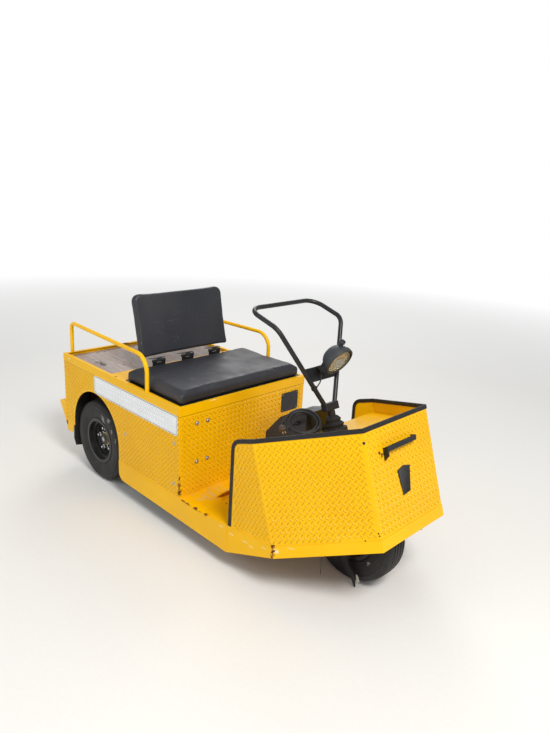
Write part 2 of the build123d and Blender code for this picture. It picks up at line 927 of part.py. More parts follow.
def arm_plane():
    """The plane of the two arms: local X is +Y, local Y climbs the arms."""
    climb = Vector(bar_bend[0] - bar_base[0], 0, bar_bend[2] - bar_base[2]).normalized()
    normal = Vector(0, 1, 0).cross(climb)
    return Plane(origin=(bar_base[0], 0, bar_base[2]), x_dir=(0, 1, 0), z_dir=tuple(normal))


def lamp_plane():
    drop = math.radians(lamp_drop)
    return Plane(origin=lamp_centre, x_dir=(0, 1, 0), z_dir=(math.cos(drop), 0, -math.sin(drop)))


def lamp_bracket():
    plane = arm_plane()
    length = math.hypot(bar_bend[0] - bar_base[0], bar_bend[2] - bar_base[2])
    spread = (bar_bend[1] - bar_base[1]) / length
    scale = length / (bar_bend[2] - bar_base[2])
    reach = (bar_radius + 0.2) * math.sqrt(1 + spread * spread)
    low = (bracket_low_z - bar_base[2]) * scale
    high = (bracket_high_z - bar_base[2]) * scale
    low_y = bar_base[1] + spread * low - reach
    high_y = bar_base[1] + spread * high - reach
    outline = Polyline((-low_y, low), (low_y, low), (high_y, high), (-high_y, high), close=True)
    plate = plane.location * extrude(make_face(outline), amount=bracket_sheet / 2, both=True)
    corner = lamp_plane().to_local_coords(plane.from_local_coords(Vector(0, high, 0)))
    shelf = block(-shelf_half, shelf_half, corner.Y - bracket_sheet, corner.Y, corner.Z - 1, shelf_front)
    return plate + lamp_plane().location * shelf


def lamp_shelf_y():
    length = math.hypot(bar_bend[0] - bar_base[0], bar_bend[2] - bar_base[2])
    high = (bracket_high_z - bar_base[2]) * length / (bar_bend[2] - bar_base[2])
    return lamp_plane().to_local_coords(arm_plane().from_local_coords(Vector(0, high, 0))).Y


def turned(profile):
    """A closed profile of (radius, height) turned about the Z axis."""
    return revolve(Plane.XZ * make_face(Polyline(*profile, close=True)), axis=Axis.Z)


def lamp_body():
    """The lamp's bowl with nothing cut out of it, in the lamp's own plane."""
    r = lamp_radius
    bowl = [(radius, -back) for back, radius in lamp_bowl]
    lip = [(r, -lamp_rim_back), (r, lamp_rim_front / 2), (r - lamp_rim_width, lamp_rim_front)]
    return turned([(0, bowl[0][1])] + bowl + lip + [(0, lamp_rim_front)])


def headlamp_shell():
    mouth = lamp_radius - lamp_rim_width
    hollow = [(radius - lamp_wall, -back + lamp_wall) for back, radius in lamp_bowl[:-1]]
    hollow = [(0, hollow[0][1])] + hollow + [(mouth, -lens_seat), (mouth, lamp_rim_front + 1)]
    shelf = lamp_shelf_y()
    stud = Cylinder(lamp_stud_radius, -lamp_stud_top - shelf)
    stud = Pos(0, (shelf - lamp_stud_top) / 2, -lamp_stud_back) * Rot(90, 0, 0) * stud
    shell = lamp_body() + stud - turned(hollow + [(0, lamp_rim_front + 1)])
    return lamp_plane().location * shell


def headlamp_lens():
    r = lamp_radius - lamp_rim_width - lens_gap
    dome = [(share * r, height) for height, share in lens_dome]
    return lamp_plane().location * turned([(0, -lens_back), (r, -lens_back)] + dome)


def lamp_lead():
    """The lamp's lead, from its grommet under the bowl to the rubber clip on the right arm."""
    path_bends = lead_bends(lamp_lead_route)
    print("lamp lead bends", [round(bend, 1) for bend in path_bends])
    path = FilletPolyline(*lamp_lead_route, radius=path_bends)
    lead = sweep(Plane(origin=path @ 0, z_dir=path % 0) * Circle(lamp_lead_radius), path=path)
    start = Plane(origin=path @ 0, z_dir=path % 0)
    lead += start.location * Cylinder(lamp_grommet_radius, 2 * lamp_grommet_length)
    low = Vector(bar_base[0], -bar_base[1], bar_base[2])
    high = Vector(bar_bend[0], -bar_bend[1], bar_bend[2])
    clip = Cylinder(clip_radius, clip_width) - Cylinder(bar_radius, clip_width + 2)
    lead += Plane(origin=low + (high - low) * clip_share, z_dir=high - low).location * clip
    return lead - lamp_plane().location * lamp_body()


def upright_wheel(shape, x, y):
    """Stand a wheel built about the X axis on its axle; its face side looks along -Y."""
    return Pos(x, y, tyre_radius) * Rot(0, 0, -90) * shape


def wheel_turned(profile):
    """A closed profile of (distance towards the face side, radius) turned about the X axis."""
    return revolve(make_face(Polyline(*profile, close=True)), axis=Axis.X)


def both_sides(half):
    """A profile listed from the middle or the rim outwards, with its mirror image."""
    return half + [(-x, radius) for x, radius in reversed(half)]


def tyre():
    foot = rim_half - rim_sheet - bead_gap
    half = [
        (tread_half, tyre_radius),
        (shoulder_half, tyre_radius - shoulder_drop),
        (tyre_half, tyre_radius - sidewall_drop),
        (foot, rim_flange_radius + flange_gap),
        (foot, rim_seat_radius + bead_gap),
    ]
    return wheel_turned(both_sides(half))


def rim_barrel():
    edge = rim_half
    t = rim_sheet
    inside = [
        (edge, rim_flange_radius),
        (edge, rim_seat_radius - t),
        (rim_seat_half - t / 2, rim_seat_radius - t),
        (rim_well_half - t / 2, rim_well_radius - t),
    ]
    outside = [
        (edge - t, rim_flange_radius),
        (edge - t, rim_seat_radius),
        (rim_seat_half + t / 2, rim_seat_radius),
        (rim_well_half + t / 2, rim_well_radius),
    ]
    return wheel_turned(both_sides(inside) + list(reversed(both_sides(outside))))


def rim_disc():
    front = [
        (disc_rim_x, rim_well_radius - rim_sheet),
        (disc_rim_x, disc_step_radius),
        (disc_hub_x, disc_hub_radius),
        (disc_hub_x, hub_hole_radius),
    ]
    back = [(x - disc_sheet, radius) for x, radius in reversed(front)]
    return wheel_turned(front + back)


def across_wheel(radius, x0, x1):
    """A round piece on the wheel's axis between two distances towards the face side."""
    return Pos((x0 + x1) / 2, 0, 0) * Rot(0, 90, 0) * Cylinder(radius, x1 - x0)


def rear_rim():
    """The rear wheel's rim with its brake drum, hub, cap and stub shaft."""
    disc_back = disc_hub_x - disc_sheet
    wheel = rim_barrel() + rim_disc()
    wheel += across_wheel(drum_radius, -drum_inner_end, disc_back)
    wheel += across_wheel(rear_hub_radius, disc_back, rear_hub_front)
    wheel += across_wheel(rear_cap_radius, rear_hub_front, rear_cap_front)
    shaft_end = axle_tube_end - shaft_insert - rear_wheel_y
    return wheel + across_wheel(axle_shaft_radius, shaft_end, -drum_inner_end)


def front_rim():
    """The front wheel's rim with its hub, which runs on the fork's axle."""
    disc_back = disc_hub_x - disc_sheet
    wheel = rim_barrel() + rim_disc()
    wheel += across_wheel(hub_flange_radius, disc_back - hub_flange_sheet, disc_back)
    wheel += across_wheel(front_hub_radius, -front_hub_half, front_hub_half)
    return wheel - across_wheel(front_axle_radius + running_gap, -2 * front_hub_half, 2 * front_hub_half)


def coil_plane():
    """The plane of the turns: local X lies level and local Y climbs."""
    normal = Vector(*coil_normal)
    level = Vector(0, 0, 1).cross(normal)
    return Plane(origin=coil_centre, x_dir=tuple(level), z_dir=coil_normal)


def charger_coil():
    ring = Cylinder(coil_outer, coil_thickness) - Cylinder(coil_inner, coil_thickness + 2)
    ring = chamfer(ring.edges(), coil_chamfer)
    return coil_plane().location * ring


def lead_bends(route):
    """The radius of the arc at each inner point of a lead's route."""
    points = [Vector(*point) for point in route]
    bends = []
    for before, here, after in zip(points, points[1:], points[2:]):
        turn = (here - before).get_angle(after - here)
        shorter = min((here - before).length, (after - here).length)
        bends.append(0.45 * shorter / math.tan(math.radians(turn / 2)))
    return bends


def charger_lead():
    """The stretch of lead between its gland and the coil."""
    bends = lead_bends(lead_route)
    print("lead bends", [round(bend, 1) for bend in bends])
    path = FilletPolyline(*lead_route, radius=bends)
    tube = sweep(Plane(origin=path @ 0, z_dir=path % 0) * Circle(lead_radius), path=path)
    print("lead volume", round(tube.volume), "of", round(math.pi * lead_radius ** 2 * path.length))
    return tube - charger_coil()


def charger_plug():
    """The plug lies against the coil's outer turn."""
    length, width, height = plug_size
    body = Box(width, length, height)
    plug = chamfer(body.edges().filter_by(Axis.Y), plug_chamfer)
    for side in (-1, 1):
        pin = Rot(90, 0, 0) * Cylinder(pin_radius, 2 * pin_length)
        plug += Pos(side * pin_spacing / 2, length / 2, 0) * pin
    outside = coil_outer + width / 2 + soft_gap
    return coil_plane().location * Rot(0, 0, plug_turn) * Pos(outside, 0, 0) * plug


wheels = [
    # name, X, Y, whether its face looks to the left
    ("rear_right", 0.0, -rear_wheel_y, False),
    ("rear_left", 0.0, rear_wheel_y, True),
    ("front", wheelbase, 0.0, False),
]


def collect():
    nodes = {
        "floor_pan": floor_pan(),
        "skirts": skirts(),
        "front_lip": front_lip(),
        "side_panel_right": side_panel(),
        "side_panel_left": mirrored(side_panel()),
        "box_front_panel": box_front_panel(),
        "rear_panel": rear_panel(),
        "rear_bumper": rear_bumper(),
        "deck_rim": deck_rim(),
        "deck_bearers": deck_bearers(),
        "deck_boards": deck_boards(),
        "deck_cross_plate": deck_cross_plate(),
        "seat_plate": seat_plate(),
        "side_rail_right": side_rail(),
        "side_rail_left": mirrored(side_rail()),
        "cowl_shell": cowl_shell(),
        "cowl_trim": cowl_trim(),
        "cowl_tray": cowl_tray(),
        "nose_handle": nose_handle(),
        "console_housing": console_housing(),
        "column_boot": column_boot(),
        "chassis_frame": chassis_frame(),
        "rear_axle": rear_axle(),
        "drive_motor": drive_motor(),
        "leaf_springs": leaf_springs(),
        "battery_block": battery_block(),
        "pedals": pedals(),
        "seat_cushion": seat_cushion(),
        "backrest_brackets": backrest_brackets(),
        "backrest_leaves": backrest_leaves(),
        "backrest_pad": backrest_pad(),
        "steering_fork": steering_fork(),
        "handlebar": handlebar(),
        "lamp_bracket": lamp_bracket(),
        "headlamp_shell": headlamp_shell(),
        "headlamp_lens": headlamp_lens(),
        "lamp_lead": lamp_lead(),
        "charger_coil": charger_coil(),
        "charger_lead": charger_lead(),
        "charger_plug": charger_plug(),
    }
    for name, x, y, faces_left in wheels:
        side = Rot(0, 0, 180) if faces_left else Rot(0, 0, 0)
        wheel_rim = front_rim() if name == "front" else rear_rim()
        nodes[name + "_tyre"] = upright_wheel(tyre(), x, y)
        nodes[name + "_rim"] = upright_wheel(side * wheel_rim, x, y)
    return nodes


def solids_of(shape):
    pieces = shape if isinstance(shape, list) else [shape]
    return [solid for piece in pieces for solid in piece.solids()]


def main():
    nodes = {name: solids_of(shape) for name, shape in collect().items()}
    boxes = [solid.bounding_box() for solids in nodes.values() for solid in solids]
    low = min(box.min.X for box in boxes)
    high = max(box.max.X for box in boxes)
    centre = (low + high) / 2
    print("rear end", round(low, 3), "front end", round(high, 3), "centred by", round(-centre, 3))
    for name, solids in nodes.items():
        placed = [Pos(-centre, 0, 0) * solid for solid in solids]
        shape = placed[0] if len(placed) == 1 else Compound(placed)
        export_step(shape, "parts/" + name + ".step")


main()
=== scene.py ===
import math
from contextlib import contextmanager
from functools import reduce

import bmesh
import bpy
from mathutils import Matrix, Vector
from mathutils.bvhtree import BVHTree


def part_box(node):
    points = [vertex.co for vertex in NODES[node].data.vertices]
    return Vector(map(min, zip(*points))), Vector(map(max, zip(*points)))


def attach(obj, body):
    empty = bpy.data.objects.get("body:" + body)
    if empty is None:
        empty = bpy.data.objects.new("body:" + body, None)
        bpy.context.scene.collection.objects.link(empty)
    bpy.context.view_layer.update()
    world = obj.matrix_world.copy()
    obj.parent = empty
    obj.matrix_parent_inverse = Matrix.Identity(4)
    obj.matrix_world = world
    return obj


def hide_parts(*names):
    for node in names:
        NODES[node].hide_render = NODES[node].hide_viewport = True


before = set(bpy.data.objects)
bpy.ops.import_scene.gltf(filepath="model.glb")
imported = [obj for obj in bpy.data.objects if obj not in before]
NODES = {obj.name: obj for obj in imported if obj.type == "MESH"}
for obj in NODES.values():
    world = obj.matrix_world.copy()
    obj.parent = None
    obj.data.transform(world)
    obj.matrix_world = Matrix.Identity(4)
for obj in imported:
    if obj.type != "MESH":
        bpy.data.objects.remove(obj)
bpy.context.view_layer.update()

# Places are measured from the rear axle line and the ground, in metres: X forward, Y left, Z up.
tyre_low, tyre_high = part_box("rear_right_tyre")
AXLE_X = (tyre_low.x + tyre_high.x) / 2
TYRE_RADIUS = (tyre_high.z - tyre_low.z) / 2

# The nose panels lean back by this much; u runs forward along the lean and v square to it.
NOSE_TILT = math.radians(18.4)
NOSE_ALONG = Vector((math.cos(NOSE_TILT), 0, math.sin(NOSE_TILT)))
NOSE_UP = Vector((-math.sin(NOSE_TILT), 0, math.cos(NOSE_TILT)))
NOSE_FRONT_U = 1.649
NOSE_FRONT_HALF = 0.198
NOSE_FOLD_U = 1.266
NOSE_FOLD_HALF = 0.368
NOSE_TAPER = 0.04

X_AXIS = Vector((1, 0, 0))
Y_AXIS = Vector((0, 1, 0))
Z_AXIS = Vector((0, 0, 1))


def at(x, y, z):
    """A place measured from the rear axle line."""
    return Vector((AXLE_X + x, y, z))


def on_nose(u, y, v):
    """A place given along the nose's leaning axes."""
    return at(0, 0, 0) + u * NOSE_ALONG + y * Y_AXIS + v * NOSE_UP


# Modelling helpers

def clear():
    bpy.ops.object.select_all(action="DESELECT")


def take(*objects):
    clear()
    for obj in objects:
        obj.select_set(True)
    bpy.context.view_layer.objects.active = objects[0]


@contextmanager
def editing(obj):
    """Edit mode on one object, with nothing selected; gives its edit mesh."""
    take(obj)
    bpy.ops.object.mode_set(mode="EDIT")
    bpy.ops.mesh.select_all(action="DESELECT")
    yield bmesh.from_edit_mesh(obj.data)
    bpy.ops.object.mode_set(mode="OBJECT")


def pick(mesh, kind, wanted):
    """Selects the verts, edges or faces of an edit mesh that wanted(element) says."""
    bpy.ops.mesh.select_mode(type={"verts": "VERT", "edges": "EDGE", "faces": "FACE"}[kind])
    bpy.ops.mesh.select_all(action="DESELECT")
    for element in getattr(mesh, kind):
        element.select = bool(wanted(element))
    mesh.select_flush_mode()
    bmesh.update_edit_mesh(bpy.context.edit_object.data)


def settle(obj):
    """Moves an object's place, turn and scale into its mesh."""
    take(obj)
    bpy.ops.object.transform_apply(location=True, rotation=True, scale=True)
    return obj


def named(name):
    obj = bpy.context.object
    obj.name = name
    obj.data.name = name
    return obj


def with_modifier(obj, kind, **settings):
    """Adds a modifier and applies it."""
    take(obj)
    modifier = obj.modifiers.new(kind.lower(), kind)
    for key, value in settings.items():
        setattr(modifier, key, value)
    bpy.ops.object.modifier_apply(modifier=modifier.name)
    return obj


def rounded(obj, width, segments=2, angle=30):
    return with_modifier(obj, "BEVEL", width=width, segments=segments, limit_method="ANGLE",
                         angle_limit=math.radians(angle))


def smooth(obj, angle=35):
    take(obj)
    bpy.ops.object.shade_smooth_by_angle(angle=math.radians(angle))
    return obj


def outwards(obj):
    """Merges doubles and turns all faces outwards."""
    with editing(obj):
        bpy.ops.mesh.select_all(action="SELECT")
        bpy.ops.mesh.remove_doubles(threshold=0.00002)
        bpy.ops.mesh.normals_make_consistent(inside=False)
    return obj


def block(name, low, high):
    clear()
    low, high = Vector(low), Vector(high)
    bpy.ops.mesh.primitive_cube_add(size=1, location=(low + high) / 2, scale=high - low)
    return settle(named(name))


def post(name, foot, head, radius, sides=24):
    """A closed cylinder from foot to head."""
    clear()
    along = head - foot
    bpy.ops.mesh.primitive_cylinder_add(vertices=sides, radius=radius, depth=along.length,
                                        location=(foot + head) / 2,
                                        rotation=along.to_track_quat("Z", "Y").to_euler())
    return settle(named(name))


def wire(name, points, closed=False):
    """A wire through points, drawn by pulling one vertex from each point to the next."""
    clear()
    bpy.ops.mesh.primitive_plane_add(size=0.001, location=points[0])
    obj = settle(named(name))
    with editing(obj) as mesh:
        bpy.ops.mesh.select_mode(type="VERT")
        bpy.ops.mesh.select_all(action="SELECT")
        bpy.ops.mesh.merge(type="CENTER")
        for here, there in zip(points, points[1:]):
            bpy.ops.mesh.extrude_vertices_move(TRANSFORM_OT_translate={"value": there - here})
        if closed:
            ends = (Vector(points[0]), Vector(points[-1]))
            pick(mesh, "verts", lambda vert: min((vert.co - end).length for end in ends) < 1e-6)
            bpy.ops.mesh.edge_face_add()
    return obj


def turned(name, profile, steps=64, closed=False):
    """A profile of (distance along the axis, radius) spun once round the Y axis."""
    obj = wire(name, [Vector((0, along, radius)) for along, radius in profile], closed)
    with editing(obj):
        bpy.ops.mesh.select_all(action="SELECT")
        bpy.ops.mesh.spin(steps=steps, angle=2 * math.pi, center=(0, 0, 0), axis=(0, 1, 0))
    return outwards(obj)


def plate(name, outline, thickness):
    """A flat plate of XY outline, standing on Z = 0."""
    obj = wire(name, [Vector((x, y, 0)) for x, y in outline], closed=True)
    with editing(obj):
        bpy.ops.mesh.select_all(action="SELECT")
        bpy.ops.mesh.edge_face_add()
        bpy.ops.mesh.extrude_region_move(TRANSFORM_OT_translate={"value": (0, 0, thickness)})
    return outwards(obj)


def rounded_outline(width, height, radius, steps=6):
    """Corner points of a rectangle with round corners, centred on the origin."""
    points = []
    for turn, (sx, sy) in enumerate(((1, 1), (-1, 1), (-1, -1), (1, -1))):
        for step in range(steps + 1):
            angle = math.pi / 2 * (turn + step / steps)
            points.append((sx * (width / 2 - radius) + radius * math.cos(angle),
                           sy * (height / 2 - radius) + radius * math.sin(angle)))
    return points


def seat(origin, across, up):
    """The turn and place that lays a flat piece's X and Y along across and up, facing outwards."""
    out = across.cross(up).normalized()
    turn = Matrix((across, up, out)).transposed().to_4x4()
    return Matrix.Translation(origin) @ turn


def facing(origin, out, up=Z_AXIS):
    """The turn and place that point a piece's +Y out of a surface."""
    side = out.cross(up).normalized()
    turn = Matrix((side, out, side.cross(out))).transposed().to_4x4()
    return Matrix.Translation(origin) @ turn


def cable(name, points, radius, steps, sides):
    """A round cable on one smooth curve; steps and sides say how finely it is drawn."""
    curve = bpy.data.curves.new(name, "CURVE")
    curve.dimensions = "3D"
    line = curve.splines.new("NURBS")
    line.points.add(len(points) - 1)
    for spot, place in zip(line.points, points):
        spot.co = (*place, 1)
    line.order_u = 3
    line.use_endpoint_u = True
    line.resolution_u = steps
    curve.bevel_depth = radius
    curve.bevel_resolution = sides
    curve.use_fill_caps = True
    obj = bpy.data.objects.new(name, curve)
    bpy.context.scene.collection.objects.link(obj)
    return obj


def tube(name, points, radius):
    """A thin cable as a mesh."""
    take(cable(name, points, radius, 8, 3))
    bpy.ops.object.convert(target="MESH")
    return smooth(named(name), 50)


def moved(obj, matrix):
    obj.data.transform(matrix)
    obj.data.update()
    return obj


def copied(obj, name, matrix=None):
    """A copy with its own mesh."""
    other = obj.copy()
    other.data = obj.data.copy()
    other.name = name
    other.data.name = name
    bpy.context.scene.collection.objects.link(other)
    return moved(other, matrix) if matrix else other


def joined(name, objects):
    take(*objects)
    bpy.ops.object.join()
    return named(name)


def dropped(*spares):
    for obj in spares:
        bpy.data.objects.remove(obj)


def done(obj, material, body="root"):
    """Gives a piece its finish and its body."""
    obj.data.materials.clear()
    obj.data.materials.append(material)
    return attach(obj, body)


def strewn(name, placed, material, body="root"):
    """Small pieces copied to their places and joined; placed holds (piece, its turn and place)."""
    copies = [copied(piece, name, matrix) for piece, matrix in placed]
    return done(smooth(joined(name, copies)), material, body)


# Shader helpers

def tone(red, green, blue):
    """A colour from its eight-bit values, as linear light."""
    parts = []
    for value in (red, green, blue):
        share = value / 255
        parts.append(share / 12.92 if share <= 0.04045 else ((share + 0.055) / 1.055) ** 2.4)
    return (*parts, 1.0)


class Value:
    """One output of a shader node; sums with numbers or other outputs make Math nodes."""

    def __init__(self, tree, socket):
        self.tree = tree
        self.socket = socket

    def node(self, kind, sockets, output=0, **settings):
        """An output of a new node in the same tree."""
        return Value(self.tree, node(self.tree, kind, sockets, **settings).outputs[output])

    def maths(self, operation, other=0.0, clamp=False):
        return self.node("Math", {0: self, 1: other}, operation=operation, use_clamp=clamp)

    def __add__(self, other):
        return self.maths("ADD", other)

    def __sub__(self, other):
        return self.maths("SUBTRACT", other)

    def __mul__(self, other):
        return self.maths("MULTIPLY", other)

    def __abs__(self):
        return self.maths("ABSOLUTE")

    def most(self, other):
        return self.maths("MAXIMUM", other)

    def spread(self, low, high, to_low=0.0, to_high=1.0):
        """Maps low..high to to_low..to_high, held at its ends."""
        return self.node("MapRange", {0: self, 1: low, 2: high, 3: to_low, 4: to_high})

    def noise(self, scale, detail=3.0, roughness=0.5, distortion=0.0):
        return self.node("TexNoise", {"Vector": self, "Scale": scale, "Detail": detail,
                                      "Roughness": roughness, "Distortion": distortion})

    def stretched(self, scale, turn=(0, 0, 0)):
        return self.node("Mapping", {"Vector": self, "Rotation": turn, "Scale": scale})

    def parts(self):
        """The X, Y and Z of a place."""
        split = node(self.tree, "SeparateXYZ", {0: self})
        return [Value(self.tree, socket) for socket in split.outputs]

    def masked(self, group, **sockets):
        """What a shader group gives at this place."""
        return self.node("Group", {"Vector": self, **sockets}, node_tree=group)


def connect(target, value):
    """Links an input to a Value, or sets it to a constant."""
    if isinstance(value, Value):
        value.tree.links.new(value.socket, target)
    else:
        target.default_value = value


def node(tree, kind, sockets=None, **settings):
    """A new node; sockets maps an input's name or number to a constant or a Value."""
    made = tree.nodes.new("ShaderNode" + kind)
    for key, value in settings.items():
        setattr(made, key, value)
    for key, value in (sockets or {}).items():
        connect(made.inputs[key], value)
    return made


def mixed(share, first, second):
    """A colour between two."""
    tree = next(part.tree for part in (share, first, second) if isinstance(part, Value))
    return Value(tree, node(tree, "Mix", {0: share, 6: first, 7: second}, data_type="RGBA").outputs[2])


def new_group(name, gives, **takes):
    """A shader group with one output: its tree and its inputs, whose kinds follow from their defaults."""
    tree = bpy.data.node_groups.new(name, "ShaderNodeTree")
    for label, default in takes.items():
        kind = "Float" if isinstance(default, float) else "Vector"
        socket = tree.interface.new_socket(name=label, in_out="INPUT", socket_type="NodeSocket" + kind)
        socket.default_value = default
    tree.interface.new_socket(name=gives, in_out="OUTPUT", socket_type="NodeSocketFloat")
    source = tree.nodes.new("NodeGroupInput")
    return tree, [Value(tree, source.outputs[label]) for label in takes]


def closed_group(tree, result):
    """Gives a group its result."""
    connect(tree.nodes.new("NodeGroupOutput").inputs[0], result)
    return tree


def dust_group():
    """Dust that lies in soft patches, thicker towards the ground."""
    tree, (where, low, high, amount) = new_group(
        "settled_dust", "Mask", Vector=(0, 0, 0), Low=0.1, High=0.6, Amount=0.5)
    near = where.parts()[2].spread(low, high, 1.0, 0.12)
    cloud = where.noise(7.0, 5.0, 0.6).spread(0.38, 0.72)
    speck = where.noise(160.0, 2.0, 0.6).spread(0.35, 0.75, 0.35, 1.0)
    return closed_group(tree, (cloud * speck * near).maths("MULTIPLY", amount, clamp=True))


def scratch_group():
    """Fine scratches that run mostly one way, broken into short strokes."""
    tree, (where, scale, amount) = new_group(
        "fine_scratches", "Mask", Vector=(0, 0, 0), Scale=1.0, Amount=0.5)
    scaled = where.node("VectorMath", {0: where, "Scale": scale}, operation="SCALE")
    strokes = [scaled.stretched(stretch, (turn, turn * 0.6, turn)).noise(1.0, 1.0, 0.5).spread(0.70, 0.76)
               for turn, stretch in ((0.25, (5, 260, 260)), (-0.5, (210, 6, 220)), (1.1, (240, 200, 7)))]
    breaks = scaled.noise(9.0, 2.0).spread(0.5, 0.62)
    return closed_group(tree, (reduce(Value.most, strokes) * breaks).maths("MULTIPLY", amount, clamp=True))


def patch_group():
    """A ragged patch round one place, for rust, chips and scuffs; Shape squeezes it along each axis."""
    tree, (where, place, shape, reach, ragged) = new_group(
        "ragged_patch", "Mask", Vector=(0, 0, 0), Place=(0, 0, 0), Shape=(1, 1, 1), Reach=0.02, Ragged=0.5)
    away = where.node("VectorMath", {0: where, 1: place}, operation="SUBTRACT")
    squeezed = away.node("VectorMath", {0: away, 1: shape}, operation="MULTIPLY")
    length = squeezed.node("VectorMath", {0: squeezed}, 1, operation="LENGTH")
    edge = length.maths("DIVIDE", reach) + (ragged - 0.5) * 3.4
    return closed_group(tree, edge.spread(0.55, 0.75, 1.0, 0.0))


def patches(where, places, grain):
    """The ragged patches of a list of (place, reach, shape), as one mask."""
    ragged = where.noise(grain, 4.0, 0.6)
    return reduce(Value.most, [where.masked(PATCH, Place=place, Shape=shape, Reach=reach, Ragged=ragged)
                               for place, reach, shape in places])


def grain_group():
    """Moulded leather-like grain, as a height."""
    tree, (where, scale) = new_group("moulded_grain", "Height", Vector=(0, 0, 0), Scale=900.0)
    cells = where.node("TexVoronoi", {"Vector": where, "Scale": scale}, feature="SMOOTH_F1")
    return closed_group(tree, cells + where.noise(scale, 2.0) * 0.5)


DUST = dust_group()
SCRATCHES = scratch_group()
PATCH = patch_group()
GRAIN = grain_group()
DUST_TONE = tone(176, 160, 138)
RUST_TONE = tone(122, 62, 30)
RUST_DARK = tone(58, 32, 22)


def blank(name):
    """A new material, its surface shader and its Object coordinates."""
    material = bpy.data.materials.new(name)
    material.use_nodes = True
    tree = material.node_tree
    where = Value(tree, tree.nodes.new("ShaderNodeTexCoord").outputs["Object"])
    return material, tree.nodes["Principled BSDF"], where


SHADER_INPUTS = {
    "colour": "Base Color", "roughness": "Roughness", "metal": "Metallic", "coat": "Coat Weight",
    "coat_roughness": "Coat Roughness", "ior": "IOR", "transmission": "Transmission Weight",
    "specular": "Specular IOR Level",
}


def feed(shader, **sockets):
    for key, value in sockets.items():
        connect(shader.inputs[SHADER_INPUTS[key]], value)


def bumped(shader, height, strength, distance, edge=0.0):
    """Gives the surface small relief; edge rounds its sharp corners by that radius."""
    bump = height.node("Bump", {"Height": height, "Strength": strength, "Distance": distance})
    if edge:
        connect(bump.socket.node.inputs["Normal"], bump.node("Bevel", {"Radius": edge}, samples=4))
    connect(shader.inputs["Normal"], bump)


ROUND = (1, 1, 1)
RUST_PLACES = [
    # place, reach, squeeze along each axis
    (at(0.7020, -0.3810, 0.280), 0.008, (1, 1, 0.5)),
    (at(0.7020, -0.3810, 0.247), 0.010, (1, 1, 0.45)),
    (at(0.7025, -0.3780, 0.212), 0.015, (1, 1, 0.8)),
    (at(0.7300, -0.3810, 0.186), 0.007, (0.4, 1, 1.6)),
    (at(0.7600, -0.3810, 0.186), 0.009, (0.35, 1, 1.6)),
    (at(0.8140, -0.3800, 0.186), 0.012, (0.7, 0.8, 1.2)),
    (at(0.8450, -0.3810, 0.186), 0.006, (0.4, 1, 1.6)),
    (at(0.8830, -0.3790, 0.189), 0.012, (0.8, 0.8, 1.2)),
    (at(1.2640, -0.3690, 0.221), 0.013, ROUND),
    (at(1.2680, -0.3690, 0.200), 0.012, (1.2, 1, 0.6)),
    (at(1.2660, -0.3700, 0.180), 0.010, ROUND),
    (at(1.5285, -0.1310, 0.630), 0.008, ROUND),
    (at(1.5310, -0.1170, 0.621), 0.009, ROUND),
    (at(0.8650, -0.2520, 0.188), 0.007, ROUND),
    (at(-0.3000, -0.3820, 0.216), 0.014, ROUND),
    (at(-0.2960, -0.0200, 0.602), 0.016, (1, 0.6, 1)),
    (at(0.1900, -0.3720, 0.602), 0.008, ROUND),
    (at(1.6120, -0.1990, 0.366), 0.004, ROUND),
    (at(-0.3730, 0.1500, 0.322), 0.012, (1, 0.5, 1)),
    (at(0.7020, 0.3810, 0.230), 0.010, (1, 1, 0.5)),
    (at(1.2650, 0.3690, 0.200), 0.010, ROUND),
]
SCRAPE_PLACES = [
    (at(0.9840, -0.3820, 0.183), 0.004, (0.25, 1, 1.3)),
    (at(1.0470, -0.3790, 0.174), 0.005, (0.3, 1, 1.4)),
    (at(1.1220, -0.3760, 0.175), 0.005, (0.28, 1, 1.5)),
    (at(1.1550, -0.3750, 0.170), 0.005, (0.3, 1, 1.4)),
    (at(1.2200, -0.3730, 0.196), 0.004, (0.3, 1, 1.3)),
    (at(1.2800, -0.3640, 0.208), 0.010, (0.6, 0.6, 1.0)),
    (at(1.3260, -0.3390, 0.235), 0.003, (0.12, 0.3, 1.2)),
    (at(0.7030, -0.2000, 0.602), 0.006, (1, 0.3, 1)),
    (at(-0.2500, -0.3820, 0.585), 0.006, (0.3, 1, 1)),
]


# The box between its outer faces: what looks inwards gets painted shade, a near black for the shade inside it
SEAM_Z = 0.5610
BOX_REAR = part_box("rear_panel")[0].x
BOX_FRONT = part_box("box_front_panel")[1].x
BOX_INNER_HALF = 0.3785
BOX_INNER_TOP = 0.574


def box_masks(where):
    """1 on the box as a whole, and 1 on the faces inside it, which take painted shade."""
    x, y, z = where.parts()
    on_box = x.maths("LESS_THAN", BOX_FRONT + 0.004)
    between = x.maths("LESS_THAN", BOX_FRONT - 0.002) * x.maths("GREATER_THAN", BOX_REAR + 0.002)
    beside = abs(y).maths("LESS_THAN", BOX_INNER_HALF)
    return on_box, between * (beside * z.maths("LESS_THAN", BOX_INNER_TOP))


WALKED_PLACES = [
    (at(0.745, -0.230, 0.185), 0.10, (1.3, 0.7, 1)),
    (at(0.800, 0.200, 0.185), 0.10, (1, 1, 1)),
]


